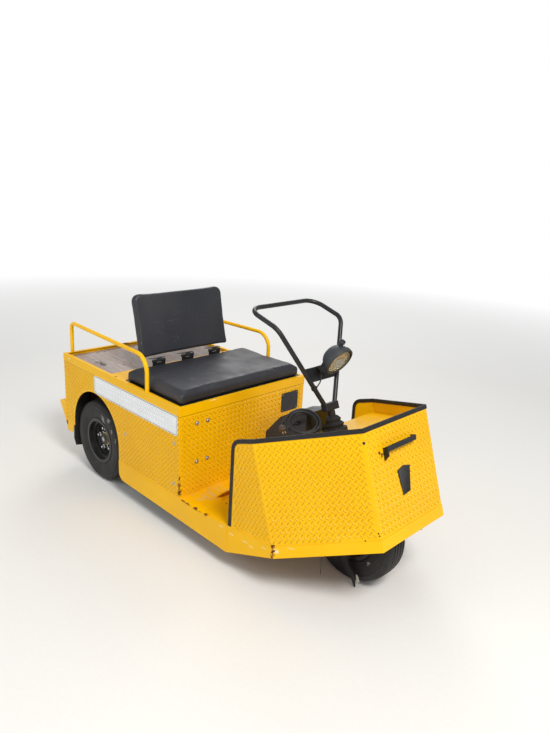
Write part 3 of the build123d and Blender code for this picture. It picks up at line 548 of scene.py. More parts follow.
def yellow_paint(name, scuffed=0.0, shade=1.0):
    """Gloss yellow enamel, sprayed thick, faded in clouds, chipped and rusty at its corners; painted shade
    darkens the seam line under the band, the faces inside the box and, where shade is below 1, the whole paint.
    """
    material, shader, where = blank(name)
    base = mixed(where.noise(4.0, 3.0).spread(0.35, 0.68), tone(248, 190, 0), tone(241, 181, 0))
    dust = where.masked(DUST, Low=0.12, High=0.5, Amount=0.06)
    base = mixed(dust, base, DUST_TONE)
    lines = where.masked(SCRATCHES, Scale=1.0, Amount=0.35 + scuffed * 0.3)
    base = mixed(lines * 0.5, base, tone(250, 226, 150))
    if scuffed > 0.5:
        streaks = where.stretched((9, 70, 9), (0, 0, 0.5)).noise(1.0, 5.0, 0.7).spread(0.46, 0.62)
        base = mixed(patches(where, WALKED_PLACES, 26.0) * streaks * 0.75, base, tone(206, 180, 122))
    scrapes = patches(where, SCRAPE_PLACES, 230.0)
    base = mixed(scrapes * 0.8, base, tone(240, 222, 178))
    rust = patches(where, RUST_PLACES, 170.0)
    base = mixed(rust, base, mixed(where.noise(300.0, 3.0).spread(0.4, 0.6), RUST_DARK, RUST_TONE))
    on_box, painted_inner_shade = box_masks(where)
    # Painted shade: a dark line along the seam, under the band's edge.
    painted_seam_shade = on_box * abs(where.parts()[2] - SEAM_Z).spread(0.0008, 0.0016, 0.8, 0.0)
    base = mixed(painted_seam_shade, base, tone(58, 40, 14))
    # Painted shade: the faces inside the box are darkened to near black.
    base = mixed(painted_inner_shade, base, tone(24, 22, 20))
    # Painted shade: shade below 1 darkens the whole paint, for the lozenges' shaded sides.
    if shade < 1:
        base = mixed(1 - shade, base, tone(120, 82, 6))
    rough = ((dust + rust) + (lines + scrapes)).spread(0.0, 1.0, 0.33, 0.8)
    coat = rust.most(dust).spread(0.0, 0.8, 0.12, 0.0)
    feed(shader, colour=base, roughness=rough, coat=coat, coat_roughness=0.18, specular=0.16)
    bumped(shader, where.noise(240.0, 2.0) - rust * 3.0, 0.25, 0.0004, edge=0.0012)
    return material


def black_paint(name, colour=(24, 25, 28), roughness=0.42, worn=0.35):
    """Satin black enamel with dust and rubbed spots."""
    material, shader, where = blank(name)
    dust = where.masked(DUST, Low=0.1, High=0.8, Amount=0.16)
    base = mixed(dust, tone(*colour), tone(120, 110, 98))
    base = mixed(where.masked(SCRATCHES, Scale=1.3, Amount=worn), base, tone(120, 118, 112))
    rough = (dust + where.noise(30.0)).spread(0.3, 1.4, roughness - 0.08, 0.75)
    feed(shader, colour=base, roughness=rough, specular=0.42)
    bumped(shader, where.noise(420.0, 2.0), 0.22, 0.0004, edge=0.001)
    return material


def rubber(name, colour=(30, 30, 31), roughness=0.62, dusty=0.5):
    """Moulded rubber or plastic with a fine grain and settled dust."""
    material, shader, where = blank(name)
    dust = where.masked(DUST, Low=0.05, High=0.7, Amount=dusty)
    base = mixed(dust * 0.45, tone(*colour), tone(128, 118, 106))
    rough = where.noise(60.0, 4.0).spread(0.3, 0.7, roughness - 0.08, roughness + 0.12)
    feed(shader, colour=base, roughness=rough, specular=0.4)
    bumped(shader, where.masked(GRAIN, Scale=520.0), 0.2, 0.0004, edge=0.0012)
    return material


VINYL_SCUFFS_AND_HIGHLIGHT = [
    (at(0.6780, -0.3420, 0.6520), 0.0050, ROUND),
    (at(0.5560, -0.2050, 0.6560), 0.0050, (1, 0.4, 1)),
    (at(0.5360, -0.2110, 0.6560), 0.0030, ROUND),
    (at(0.2330, -0.2600, 0.7600), 0.0060, (1, 1, 0.5)),
    # A long pale streak down the backrest's right edge: a painted highlight along its welted edge.
    (at(0.2050, -0.2740, 0.8600), 0.0040, (1, 1, 0.1)),
    (at(0.3000, -0.1200, 0.6560), 0.0030, (0.3, 1, 1)),
]


def vinyl(name):
    """Slate black seat vinyl with a fine grain, sun-faded patches, pale dust in its grain, pale scuffs and a
    painted highlight down the backrest's right edge.
    """
    material, shader, where = blank(name)
    base = mixed(where.noise(3.2, 3.0).spread(0.35, 0.7), tone(30, 32, 39), tone(45, 46, 52))
    base = mixed(where.masked(DUST, Low=0.2, High=1.4, Amount=0.12), base, tone(120, 114, 108))
    base = mixed(where.masked(SCRATCHES, Scale=0.9, Amount=0.3), base, tone(140, 140, 142))
    # Pale scuffs, and the painted highlight streak down the backrest's right edge.
    base = mixed(patches(where, VINYL_SCUFFS_AND_HIGHLIGHT, 210.0) * 0.55, base, tone(176, 176, 180))
    rough = where.noise(12.0, 3.0).spread(0.3, 0.7, 0.42, 0.58)
    feed(shader, colour=base, roughness=rough, specular=0.5)
    bumped(shader, where.masked(GRAIN, Scale=750.0), 0.35, 0.0005)
    return material


BOARD_PITCH = 0.184


def deck_wood(name):
    """Weathered boards: grain along X, each board its own shade, dark stains and cracks."""
    material, shader, where = blank(name)
    board = where.parts()[1].maths("DIVIDE", BOARD_PITCH).maths("FLOOR")
    shade = board.node("TexWhiteNoise", {"W": board}, noise_dimensions="1D")
    grain = where.stretched((6, 120, 40)).noise(1.0, 6.0, 0.62, 0.6)
    cracks = where.stretched((24, 700, 200)).noise(1.0, 3.0, 0.6).spread(0.62, 0.72)
    blotch = where.stretched((1, 1.6, 1)).noise(9.0, 4.0).spread(0.42, 0.66)
    stain = where.noise(24.0, 5.0, 0.7).spread(0.6, 0.7)
    base = mixed(grain.spread(0.3, 0.7), tone(142, 131, 127), tone(204, 193, 188))
    base = mixed(blotch, base, tone(170, 152, 142))
    base = mixed(shade * 0.25, base, tone(150, 142, 138))
    base = mixed(stain * 0.55, base, tone(84, 70, 62))
    base = mixed(cracks * 0.6, base, tone(70, 58, 52))
    feed(shader, colour=base, roughness=0.82, specular=0.25)
    bumped(shader, grain - cracks, 0.5, 0.0012)
    return material


TYRE_SCUFFS = [
    (at(0.052, -0.368, 0.338), 0.016, (1, 1, 0.5)),
    (at(0.105, -0.368, 0.350), 0.014, (1, 1, 1)),
    (at(0.135, -0.366, 0.300), 0.010, (1.4, 1, 0.6)),
    (at(0.166, -0.366, 0.262), 0.010, (1.4, 1, 0.6)),
    (at(1.480, -0.052, 0.120), 0.010, (1, 1, 1)),
]


def tyre_rubber(name):
    """Aged tyre rubber: brown-grey bloom on the wall, dust on the tread, pale kerb scuffs."""
    material, shader, where = blank(name)
    base = mixed(where.noise(14.0, 4.0).spread(0.35, 0.72), tone(19, 19, 20), tone(32, 31, 30))
    specks = where.noise(420.0, 2.0).spread(0.62, 0.75)
    base = mixed(specks * 0.25, base, tone(110, 104, 98))
    base = mixed(where.masked(DUST, Low=0.0, High=0.3, Amount=0.28), base, tone(112, 104, 94))
    scuff = patches(where, TYRE_SCUFFS, 190.0)
    base = mixed(scuff * 0.8, base, tone(150, 147, 140))
    feed(shader, colour=base, roughness=0.58, specular=0.35)
    bumped(shader, where.noise(90.0, 4.0) + scuff, 0.3, 0.0008)
    return material


def bare_metal(name, colour, roughness, tarnish=(110, 96, 80), amount=0.4):
    """Plated or bare metal, tarnished in patches."""
    material, shader, where = blank(name)
    dull = where.noise(60.0, 5.0, 0.65).spread(0.45, 0.75)
    share = dull * amount
    feed(shader, colour=mixed(share, tone(*colour), tone(*tarnish)),
         roughness=dull.spread(0.0, 1.0, roughness, roughness + 0.3),
         metal=share.spread(0.0, 1.0, 1.0, 0.3))
    bumped(shader, where.stretched((40, 900, 900)).noise(1.0, 2.0), 0.15, 0.0002, edge=0.0006)
    return material


def cast_iron(name, colour=(46, 42, 40)):
    """Dirty painted iron under the body."""
    material, shader, where = blank(name)
    base = mixed(where.noise(11.0, 6.0, 0.65).spread(0.4, 0.7), tone(*colour), tone(96, 78, 62))
    base = mixed(where.noise(30.0, 5.0, 0.7).spread(0.58, 0.7), base, RUST_TONE)
    feed(shader, colour=base, roughness=0.78, specular=0.3)
    bumped(shader, where.noise(160.0, 5.0), 0.4, 0.001, edge=0.0015)
    return material


LABEL_LINE_IN = 0.0060
LABEL_LINE_OUT = 0.0040
LABEL_LINE_BLUR = 0.0002


def label_vinyl(name):
    """White sign vinyl with a thin dark line set in from its edge."""
    material, shader, where = blank(name)
    x, _, z = where.parts()
    past_x = abs(x - LABEL_CENTRE.x) - (LABEL_WIDTH / 2 - LABEL_CORNER)
    past_z = abs(z - LABEL_CENTRE.z) - (LABEL_HEIGHT / 2 - LABEL_CORNER)
    out_x, out_z = past_x.most(0.0), past_z.most(0.0)
    corner = (out_x * out_x + out_z * out_z).maths("SQRT")
    rim = corner + past_x.most(past_z).maths("MINIMUM", 0.0)
    start, end = LABEL_CORNER - LABEL_LINE_IN, LABEL_CORNER - LABEL_LINE_OUT
    line = (rim.spread(start - LABEL_LINE_BLUR, start + LABEL_LINE_BLUR)
            * rim.spread(end - LABEL_LINE_BLUR, end + LABEL_LINE_BLUR, 1.0, 0.0))
    dirt = where.masked(DUST, Low=0.3, High=0.9, Amount=0.3)
    base = mixed(line, mixed(dirt, tone(232, 236, 238), tone(170, 165, 155)), tone(40, 44, 48))
    feed(shader, colour=base, roughness=0.35, specular=0.5)
    bumped(shader, where.noise(200.0, 2.0), 0.15, 0.0003)
    return material


# The blank white label on the right side of the box
LABEL_WIDTH = 0.687
LABEL_HEIGHT = 0.094
LABEL_CORNER = 0.019
LABEL_CENTRE = at(0.3435, -0.382, 0.515)

PAINT = yellow_paint("yellow_paint")
TREAD_PAINT = yellow_paint("tread_plate_paint", scuffed=0.3)
# The lozenges take the same paint with painted shade, darker than the plate under them.
LOZENGE_PAINT_SHADED = yellow_paint("lozenge_paint_shaded", scuffed=0.3, shade=0.72)
FLOOR_PAINT = yellow_paint("floor_paint", scuffed=1.0)
SATIN_BLACK = black_paint("black_paint")
CONSOLE_BLACK = black_paint("console_black", (27, 30, 36), 0.36, 0.3)
RIM_BLACK = black_paint("rim_black", (22, 22, 24), 0.38, 0.25)
EDGE_RUBBER = rubber("edge_rubber", (26, 26, 27), 0.55, 0.35)
BOOT_RUBBER = rubber("boot_rubber", (24, 24, 25), 0.6, 0.5)
LAMP_RUBBER = rubber("lamp_rubber", (52, 56, 60), 0.55, 0.35)
LEAD_RUBBER = rubber("lead_rubber", (30, 31, 33), 0.5, 0.3)
PLUG_PLASTIC = rubber("plug_plastic", (66, 50, 40), 0.5, 0.5)
SEAT_VINYL = vinyl("seat_vinyl")
WOOD = deck_wood("deck_wood")
TYRE = tyre_rubber("tyre_rubber")
STEEL = bare_metal("bare_steel", (190, 192, 194), 0.3)
HINGE_STEEL = black_paint("hinge_black", (30, 31, 33), 0.4, 0.6)
CHROME = bare_metal("nut_chrome", (235, 236, 238), 0.2, (150, 138, 120), 0.2)
BRASS = bare_metal("hub_brass", (206, 190, 150), 0.34, (120, 96, 66), 0.4)
IRON = cast_iron("cast_iron")
MOTOR = cast_iron("motor_paint", (40, 42, 44))
BATTERY = black_paint("battery_case", (34, 35, 36), 0.5, 0.1)
LABEL = label_vinyl("label_vinyl")
SIGN_BLACK = black_paint("sign_black", (20, 20, 22), 0.3, 0.5)
PALE_CHIP = rubber("torn_canvas", (186, 182, 172), 0.7, 0.2)

FINISHES = [
    # finish, nodes that keep their CAD shape
    (PAINT, ["skirts", "front_lip", "rear_bumper", "deck_rim", "deck_cross_plate", "side_rail_right",
             "side_rail_left", "pedals"]),
    (TREAD_PAINT, ["side_panel_right", "side_panel_left", "box_front_panel", "rear_panel", "cowl_shell"]),
    (FLOOR_PAINT, ["floor_pan", "cowl_tray"]),
    (SATIN_BLACK, ["handlebar", "lamp_bracket", "nose_handle", "seat_plate", "steering_fork"]),
    (CONSOLE_BLACK, ["console_housing"]),
    (RIM_BLACK, ["rear_right_rim", "rear_left_rim", "front_rim"]),
    (EDGE_RUBBER, ["cowl_trim"]),
    (BOOT_RUBBER, ["column_boot"]),
    (LEAD_RUBBER, ["lamp_lead"]),
    (WOOD, ["deck_boards"]),
    (HINGE_STEEL, ["backrest_brackets", "backrest_leaves"]),
    (IRON, ["chassis_frame", "rear_axle", "leaf_springs", "deck_bearers"]),
    (MOTOR, ["drive_motor"]),
    (BATTERY, ["battery_block"]),
]


def dress(name, finish):
    """Gives a CAD node its finish and leaves its mesh as it is."""
    for material_slot in NODES[name].material_slots:
        material_slot.material = finish


def dress_nodes():
    for finish, names in FINISHES:
        for name in names:
            dress(name, finish)


# Charging lead: out of its gland, up to the coil and round it, then into the plug
COIL_CENTRE = at(1.161, -0.125, 0.622)
COIL_NORMAL = Vector((0.30, -0.35, 0.887)).normalized()
COIL_LEVEL = Z_AXIS.cross(COIL_NORMAL).normalized()
COIL_CLIMB = COIL_NORMAL.cross(COIL_LEVEL)
COIL_RADIUS = 0.0625
COIL_BUNDLE = 0.008
COIL_FAN = 0.0026
COIL_START = math.radians(265)
COIL_TURNS = 3.5556
COIL_POINTS = 50
COIL_STRAND = math.radians(-90)
COIL_FAN_AT = math.radians(60)
COIL_WOBBLE = 0.0012
LEAD_RADIUS = 0.00475
LEAD_ROUTE = [
    # out of the gland and up into the coil
    (1.0850, -0.0890, 0.5850),
    (1.0850, -0.1040, 0.5850),
    (1.0910, -0.1230, 0.5870),
    (1.1020, -0.1435, 0.5945),
    (1.1163, -0.1646, 0.5982),
    (1.1318, -0.1779, 0.5965),
    (1.1476, -0.1841, 0.5917),
    (1.1630, -0.1838, 0.5860),
    (1.1772, -0.1779, 0.5818),
]
LEAD_END = [
    # out of the coil to the back of the plug
    (1.0958, -0.1082, 0.6430),
    (1.0916, -0.1304, 0.6369),
    (1.0930, -0.1533, 0.6294),
    (1.0981, -0.1741, 0.6215),
    (1.1051, -0.1898, 0.6147),
    (1.1121, -0.1973, 0.6100),
]
PLUG_TURN = math.radians(205)
PLUG_OUT = 0.0873
PLUG_HALF = Vector((0.0115, 0.0115, 0.0095))
PIN_OFF = 0.005
PIN_FOOT = 0.0113
PIN_TIP = 0.0226
PIN_RADIUS = 0.0022


def in_coil(radius, angle, rise):
    """A place in the coil, by its distance from the middle, its angle and its height."""
    return (COIL_CENTRE + COIL_LEVEL * radius * math.cos(angle) + COIL_CLIMB * radius * math.sin(angle)
            + COIL_NORMAL * rise)


def charging_lead():
    points = [at(*place) for place in LEAD_ROUTE]
    for step in range(COIL_POINTS + 1):
        turns = COIL_TURNS * step / COIL_POINTS
        angle = COIL_START + 2 * math.pi * turns
        around = COIL_STRAND - math.pi / 2 * turns
        fan = COIL_BUNDLE + COIL_FAN * (1 - math.cos(angle - COIL_FAN_AT))
        radius = COIL_RADIUS + fan * math.cos(around) + COIL_WOBBLE * math.sin(3 * angle + 1.1 * turns)
        points.append(in_coil(radius, angle, fan * math.sin(around)))
    points += [at(*place) for place in LEAD_END]
    lead = cable("charging_lead", points, LEAD_RADIUS, 6, 4)
    lead.data.materials.append(LEAD_RUBBER)
    return lead


def charging_plug():
    """A moulded two-pin plug that narrows to its lead; it lies along the coil's run."""
    out = COIL_LEVEL * math.cos(PLUG_TURN) + COIL_CLIMB * math.sin(PLUG_TURN)
    along = COIL_CLIMB * math.cos(PLUG_TURN) - COIL_LEVEL * math.sin(PLUG_TURN)
    turn = seat(in_coil(PLUG_OUT, PLUG_TURN, 0), out, along)
    body = block("charging_plug", -PLUG_HALF, PLUG_HALF)
    with editing(body) as mesh:
        pick(mesh, "faces", lambda face: face.normal.y < -0.9)
        bpy.ops.mesh.inset(thickness=0.0035, depth=0)
        bpy.ops.mesh.extrude_region_move(TRANSFORM_OT_translate={"value": (0, -0.006, 0)})
        bpy.ops.transform.resize(value=(0.8, 1, 0.85))
    rounded(body, 0.0022, 3)
    pins = joined("plug_pins", [post("pin", Vector((x, PIN_FOOT, 0)), Vector((x, PIN_TIP, 0)), PIN_RADIUS, 12)
                                for x in (-PIN_OFF, PIN_OFF)])
    rounded(pins, 0.0006, 2)
    return moved(smooth(body), turn), moved(smooth(pins), turn)


def make_cord():
    lead = charging_lead()
    plug, pins = charging_plug()
    done(plug, PLUG_PLASTIC)
    done(pins, BRASS)
    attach(lead, "root")
    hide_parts("charger_lead", "charger_coil")
    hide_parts("charger_plug")


# Raised lozenges of the tread plate
LOZENGE_LENGTH = 0.0205
LOZENGE_WIDTH = 0.0062
LOZENGE_HEIGHT = 0.0016
LOZENGE_PITCH = 0.0235
LOZENGE_VERTS = 12
LOZENGE_ROOT = 0.0002
TREAD_LOW_V, TREAD_HIGH_V = -0.42, 0.24
TREAD_REAR_U = 0.95
PROBE_LIFT = 0.02
PROBE_REACH = 0.024
PROBE_LEAST = 0.0165
PROBE_SPREAD = 1.12


def lozenge_pair():
    """Two low lozenges with pointed ends, crossing ways, rooted just under Z = 0."""
    clear()
    bpy.ops.mesh.primitive_circle_add(vertices=6, radius=1, fill_type="NGON", location=(0, 0, -LOZENGE_ROOT))
    first = settle(named("lozenge"))
    with editing(first):
        bpy.ops.mesh.select_all(action="SELECT")
        bpy.ops.transform.resize(
            value=(LOZENGE_WIDTH / 2 / math.cos(math.radians(30)), LOZENGE_LENGTH / 2, 1))
        bpy.ops.mesh.extrude_region_move(
            TRANSFORM_OT_translate={"value": (0, 0, LOZENGE_HEIGHT + LOZENGE_ROOT)})
        bpy.ops.transform.resize(value=(0.45, 0.66, 1))
    outwards(first)
    second = copied(first, "lozenge_other", Matrix.Rotation(math.radians(-45), 4, "Z"))
    moved(first, Matrix.Rotation(math.radians(45), 4, "Z"))
    moved(second, Matrix.Translation((LOZENGE_PITCH / 2, LOZENGE_PITCH / 2, 0)))
    return joined("lozenge_pair", [first, second])


def ray_tree(names):
    """One search tree over several CAD nodes, and the node of each of its faces."""
    places, faces, owners = [], [], []
    for name in names:
        start = len(places)
        mesh = NODES[name].data
        places.extend(vert.co.copy() for vert in mesh.vertices)
        for face in mesh.polygons:
            faces.append([start + index for index in face.vertices])
            owners.append(name)
    return BVHTree.FromPolygons(places, faces), owners


def tread(name, carrier, origin, across, up, width, height, covers=()):
    """Lozenges over one flat panel, left out wherever they would overhang it or run under a cover."""
    field = lozenge_pair()
    for length, step in ((width, (LOZENGE_PITCH, 0, 0)), (height, (0, LOZENGE_PITCH, 0))):
        with_modifier(field, "ARRAY", count=math.ceil(length / LOZENGE_PITCH), use_relative_offset=False,
                      use_constant_offset=True, constant_offset_displace=step)
    field.name = name
    field.data.name = name
    moved(field, seat(origin, across, up))
    out = across.cross(up).normalized()
    tree, owners = ray_tree([carrier, *covers])
    verts = field.data.vertices
    lost = set()
    for first in range(0, len(verts), LOZENGE_VERTS):
        own = [verts[index].co for index in range(first, first + LOZENGE_VERTS)]
        middle = sum(own, Vector()) / LOZENGE_VERTS
        for place in own:
            probe = middle + (place - middle) * PROBE_SPREAD + out * PROBE_LIFT
            hit, normal, index, distance = tree.ray_cast(probe, -out, PROBE_REACH)
            on_panel = hit is not None and owners[index] == carrier and abs(normal.dot(out)) >= 0.98
            if not on_panel or distance < PROBE_LEAST:
                lost.update(range(first, first + LOZENGE_VERTS))
                break
    with editing(field) as mesh:
        pick(mesh, "verts", lambda vert: vert.index in lost)
        bpy.ops.mesh.delete(type="VERT")
    return field


BOX_TREADS = [
    # field, carrier, whether it starts at the box's high X and high Y, way across, covers
    ("tread_box_right", "side_panel_right", 0, 0, X_AXIS, []),
    ("tread_box_left", "side_panel_left", 1, 1, -X_AXIS, []),
    ("tread_box_front", "box_front_panel", 1, 0, Y_AXIS, []),
    ("tread_box_rear", "rear_panel", 0, 1, -Y_AXIS, ["rear_bumper"]),
]
NOSE_COVERS = ["front_lip", "cowl_trim"]


def make_treads():
    fields = []
    for name, carrier, high_x, high_y, across, covers in BOX_TREADS:
        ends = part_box(carrier)
        size = ends[1] - ends[0]
        corner = Vector((ends[high_x].x, ends[high_y].y, ends[0].z))
        fields.append(tread(name, carrier, corner, across, Z_AXIS, abs(across.dot(size)), size.z, covers))
    height = TREAD_HIGH_V - TREAD_LOW_V
    rear_half = NOSE_FOLD_HALF + NOSE_TAPER * (NOSE_FOLD_U - TREAD_REAR_U)
    folds = [(TREAD_REAR_U, rear_half), (NOSE_FOLD_U, NOSE_FOLD_HALF), (NOSE_FRONT_U, NOSE_FRONT_HALF)]
    for way, word in ((-1, "right"), (1, "left")):
        rear, fold, front = (on_nose(u, way * half, TREAD_LOW_V) for u, half in folds)
        for part, start, end in (("cheek", rear, fold), ("wing", fold, front)):
            width = (end - start).length
            along = (end - start).normalized()
            if way > 0:
                start, along = end, -along
            fields.append(tread(f"tread_{part}_{word}", "cowl_shell", start, along, NOSE_UP, width, height,
                                NOSE_COVERS))
    corner = on_nose(NOSE_FRONT_U, -NOSE_FRONT_HALF, TREAD_LOW_V)
    fields.append(tread("tread_nose_front", "cowl_shell", corner, Y_AXIS, NOSE_UP, 2 * NOSE_FRONT_HALF,
                        height, NOSE_COVERS))
    for field in fields:
        done(field, LOZENGE_PAINT_SHADED)
    label_on(fields[0])


def label_on(field):
    """Lozenges under the label take its white vinyl."""
    field.data.materials.append(LABEL)
    for face in field.data.polygons:
        away = face.center - LABEL_CENTRE
        past_x = max(abs(away.x) - LABEL_WIDTH / 2 + LABEL_CORNER, 0.0)
        past_z = max(abs(away.z) - LABEL_HEIGHT / 2 + LABEL_CORNER, 0.0)
        if math.hypot(past_x, past_z) < LABEL_CORNER - 0.001:
            face.material_index = 1


def make_label():
    sheet = plate("side_label", rounded_outline(LABEL_WIDTH, LABEL_HEIGHT, LABEL_CORNER), 0.0004)
    place = Vector((LABEL_CENTRE.x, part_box("side_panel_right")[0].y, LABEL_CENTRE.z))
    done(moved(sheet, seat(place, X_AXIS, Z_AXIS)), LABEL)


# Soft seat and backrest

def swell(obj, pressure, cap):
    """Blows a closed shell up against its own stiffness; no point moves further than cap."""
    scene = bpy.context.scene
    rest = [vert.co.copy() for vert in obj.data.vertices]
    take(obj)
    cloth = obj.modifiers.new("swell", "CLOTH")
    settings = cloth.settings
    settings.quality = 4
    settings.mass = 0.3
    settings.tension_stiffness = 18
    settings.compression_stiffness = 18
    settings.bending_stiffness = 2.0
    settings.use_pressure = True
    settings.uniform_pressure_force = pressure
    settings.effector_weights.gravity = 0
    cloth.collision_settings.use_collision = False
    for step in range(1, 21):
        scene.frame_set(step)
    shaped = obj.evaluated_get(bpy.context.evaluated_depsgraph_get()).data
    ends = [vert.co.copy() for vert in shaped.vertices]
    obj.modifiers.remove(cloth)
    scene.frame_set(1)
    for vert, start, end in zip(obj.data.vertices, rest, ends):
        way = end - start
        vert.co = start + way * min(1.0, cap / max(way.length, 1e-9))
    obj.data.update()
    return obj


def remeshed(obj, size):
    return with_modifier(obj, "REMESH", mode="VOXEL", voxel_size=size, use_smooth_shade=True)


SEAT_OVERHANG = 0.0065
SEAT_SWELL = 0.014
SEAT_DENTS = [
    # X and Y from the middle, reach, depth
    (0.02, -0.13, 0.16, 0.0035),
    (0.06, 0.12, 0.13, 0.003),
]
CREASE_X = 0.547
CREASE_Y = 0.19
CREASE_LENGTH = 0.10
CREASE_WIDTH = 0.008
CREASE_DEPTH = 0.0026
PAD_VOXEL = 0.006
PAD_PRESSURE = 4.0


def seat_cushion():
    low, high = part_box("seat_cushion")
    pad = block("seat_pad", low + Vector((0.002, -SEAT_OVERHANG, 0.0005)),
                high + Vector((0.004, SEAT_OVERHANG, -0.009)))
    rounded(pad, 0.013, 4)
    remeshed(pad, PAD_VOXEL)
    swell(pad, PAD_PRESSURE, SEAT_SWELL)
    middle = (low + high) / 2
    most_y = high.y + SEAT_OVERHANG + 0.004
    for vert in pad.data.vertices:
        place = vert.co
        place.z = max(place.z, low.z + 0.0004)
        place.x = min(max(place.x, low.x - 0.001), high.x + 0.010)
        place.y = min(max(place.y, -most_y), most_y)
        if place.z > middle.z:
            for dent_x, dent_y, reach, depth in SEAT_DENTS:
                away = math.hypot(place.x - middle.x - dent_x, place.y - dent_y)
                place.z -= depth * math.exp(-(away / reach) ** 2)
            beside = (place.x - AXLE_X - CREASE_X) / CREASE_WIDTH
            share = math.exp(-((place.y - CREASE_Y) / CREASE_LENGTH) ** 2)
            place.z -= CREASE_DEPTH * share * math.exp(-beside ** 2)
    with_modifier(pad, "SUBSURF", levels=1, render_levels=1)
    smooth(pad, 80)
    done(pad, SEAT_VINYL)
    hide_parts("seat_cushion")


HINGE = at(0.250, 0, 0.663)
LEAN = math.radians(12.9)
BACK_HALF = 0.275
BACK_HEIGHT = 0.336
BACK_LOW = 0.014
BACK_THICK = 0.045
BACK_FACE = 0.0037
BACK_CORNER = 0.042
BACK_SWELL = 0.012


def backrest():
    """Built upright behind the hinge line, then leaned back."""
    pad = block("backrest_pad_soft", (BACK_FACE - BACK_THICK + 0.006, -BACK_HALF + 0.003, BACK_LOW + 0.002),
                (BACK_FACE - 0.0004, BACK_HALF - 0.003, BACK_HEIGHT - 0.003))
    with editing(pad) as mesh:
        pick(mesh, "edges", lambda edge: all(vert.co.z > BACK_HEIGHT - 0.01 for vert in edge.verts)
             and abs(edge.verts[0].co.y - edge.verts[1].co.y) < 0.001)
        bpy.ops.mesh.bevel(offset=BACK_CORNER, segments=6, affect="EDGES")
    rounded(pad, 0.010, 3, angle=50)
    remeshed(pad, PAD_VOXEL)
    swell(pad, PAD_PRESSURE, BACK_SWELL)
    for vert in pad.data.vertices:
        vert.co.x = max(min(vert.co.x, BACK_FACE), BACK_FACE - BACK_THICK - 0.002)
    with_modifier(pad, "SUBSURF", levels=1, render_levels=1)
    smooth(pad, 80)
    turn = Matrix.Translation(HINGE) @ Matrix.Rotation(-LEAN, 4, "Y")
    done(moved(pad, turn), SEAT_VINYL, "backrest")
    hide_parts("backrest_pad")


# Tyres: four grooves in the tread, rings on the wall
TYRE_PROFILE = [
    # distance from the middle, drop from the tread radius, in millimetres
    (0.0, 0.0), (7.0, 0.0), (8.2, 4.6), (11.4, 4.6), (12.6, 0.1), (24.6, 0.7), (25.8, 5.2), (29.0, 5.4),
    (30.2, 1.2), (38.0, 2.6), (42.0, 4.6), (46.0, 9.0), (49.2, 16.0), (50.6, 23.0), (51.8, 24.4), (52.3, 27.0),
    (51.6, 29.6), (51.9, 38.0), (52.4, 46.0), (51.8, 56.0), (50.2, 66.0), (49.6, 68.0), (50.0, 70.5),
    (49.0, 72.6), (47.2, 79.0), (47.4, 81.5), (45.6, 84.0), (44.2, 88.0), (42.8, 89.0), (42.8, 103.2),
    (33.5, 103.2), (33.5, 88.0), (43.0, 50.0), (33.0, 14.5), (0.0, 13.5),
]


WHEELS = [
    # wheel, body, side that its disc's face looks to
    ("rear_right", "rear_wheel_right", -1),
    ("rear_left", "rear_wheel_left", 1),
    ("front", "front_wheel", -1),
]


def wheel_place(wheel):
    low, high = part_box(f"{wheel}_tyre")
    return Matrix.Translation((low + high) / 2)


def make_tyres():
    half = [(across / 1000, TYRE_RADIUS - drop / 1000) for across, drop in TYRE_PROFILE]
    ring = half + [(-across, radius) for across, radius in reversed(half[1:-1])]
    first = smooth(turned("tyre", ring, 96, closed=True), 42)
    for wheel, body, _ in WHEELS:
        tyre = copied(first, f"{wheel}_tyre_ribbed", wheel_place(wheel))
        done(tyre, TYRE, body)
        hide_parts(f"{wheel}_tyre")
    dropped(first)


# Wheel nuts, hub caps and valves, in the wheel's own place with +Y towards its face side
STUD_CIRCLE = 0.1143
STUDS = 5
STUD_TURN = 0.2
HUB_NUT_FOOT = 0.0176
VALVE_PLACE = Matrix.Translation((-0.0835, 0.0060, -0.0160))
WASHER = [(-0.0006, 0.0), (-0.0006, 0.0152), (0.0008, 0.0152), (0.0022, 0.0128), (0.0022, 0.0)]
DISC_FACE = -0.008
HUB_CAP = [
    # distance towards the face side, radius
    (0.0040, 0.0), (0.0040, 0.0345), (0.0066, 0.0345), (0.0076, 0.0335), (0.0082, 0.0285), (0.0150, 0.0278),
    (0.0176, 0.0258), (0.0188, 0.0222), (0.0188, 0.0176), (0.0180, 0.0164), (0.0180, 0.0),
]
VALVE = [
    (0.0, 0.0), (0.0, 0.0050), (0.0040, 0.0048), (0.0060, 0.0036), (0.0200, 0.0034), (0.0203, 0.0042),
    (0.0300, 0.0042), (0.0310, 0.0034), (0.0310, 0.0),
]


def peg(name, foot, head, radius, sides, edge):
    """A short pin or nut along Y with broken edges."""
    return rounded(post(name, Vector((0, foot, 0)), Vector((0, head, 0)), radius, sides), edge, 2)


def wheel_nut():
    return joined("wheel_nut", [peg("nut", 0, 0.0165, 0.0132, 6, 0.0016), turned("washer", WASHER, 32),
                                peg("tip", 0.015, 0.0275, 0.0064, 16, 0.001)])


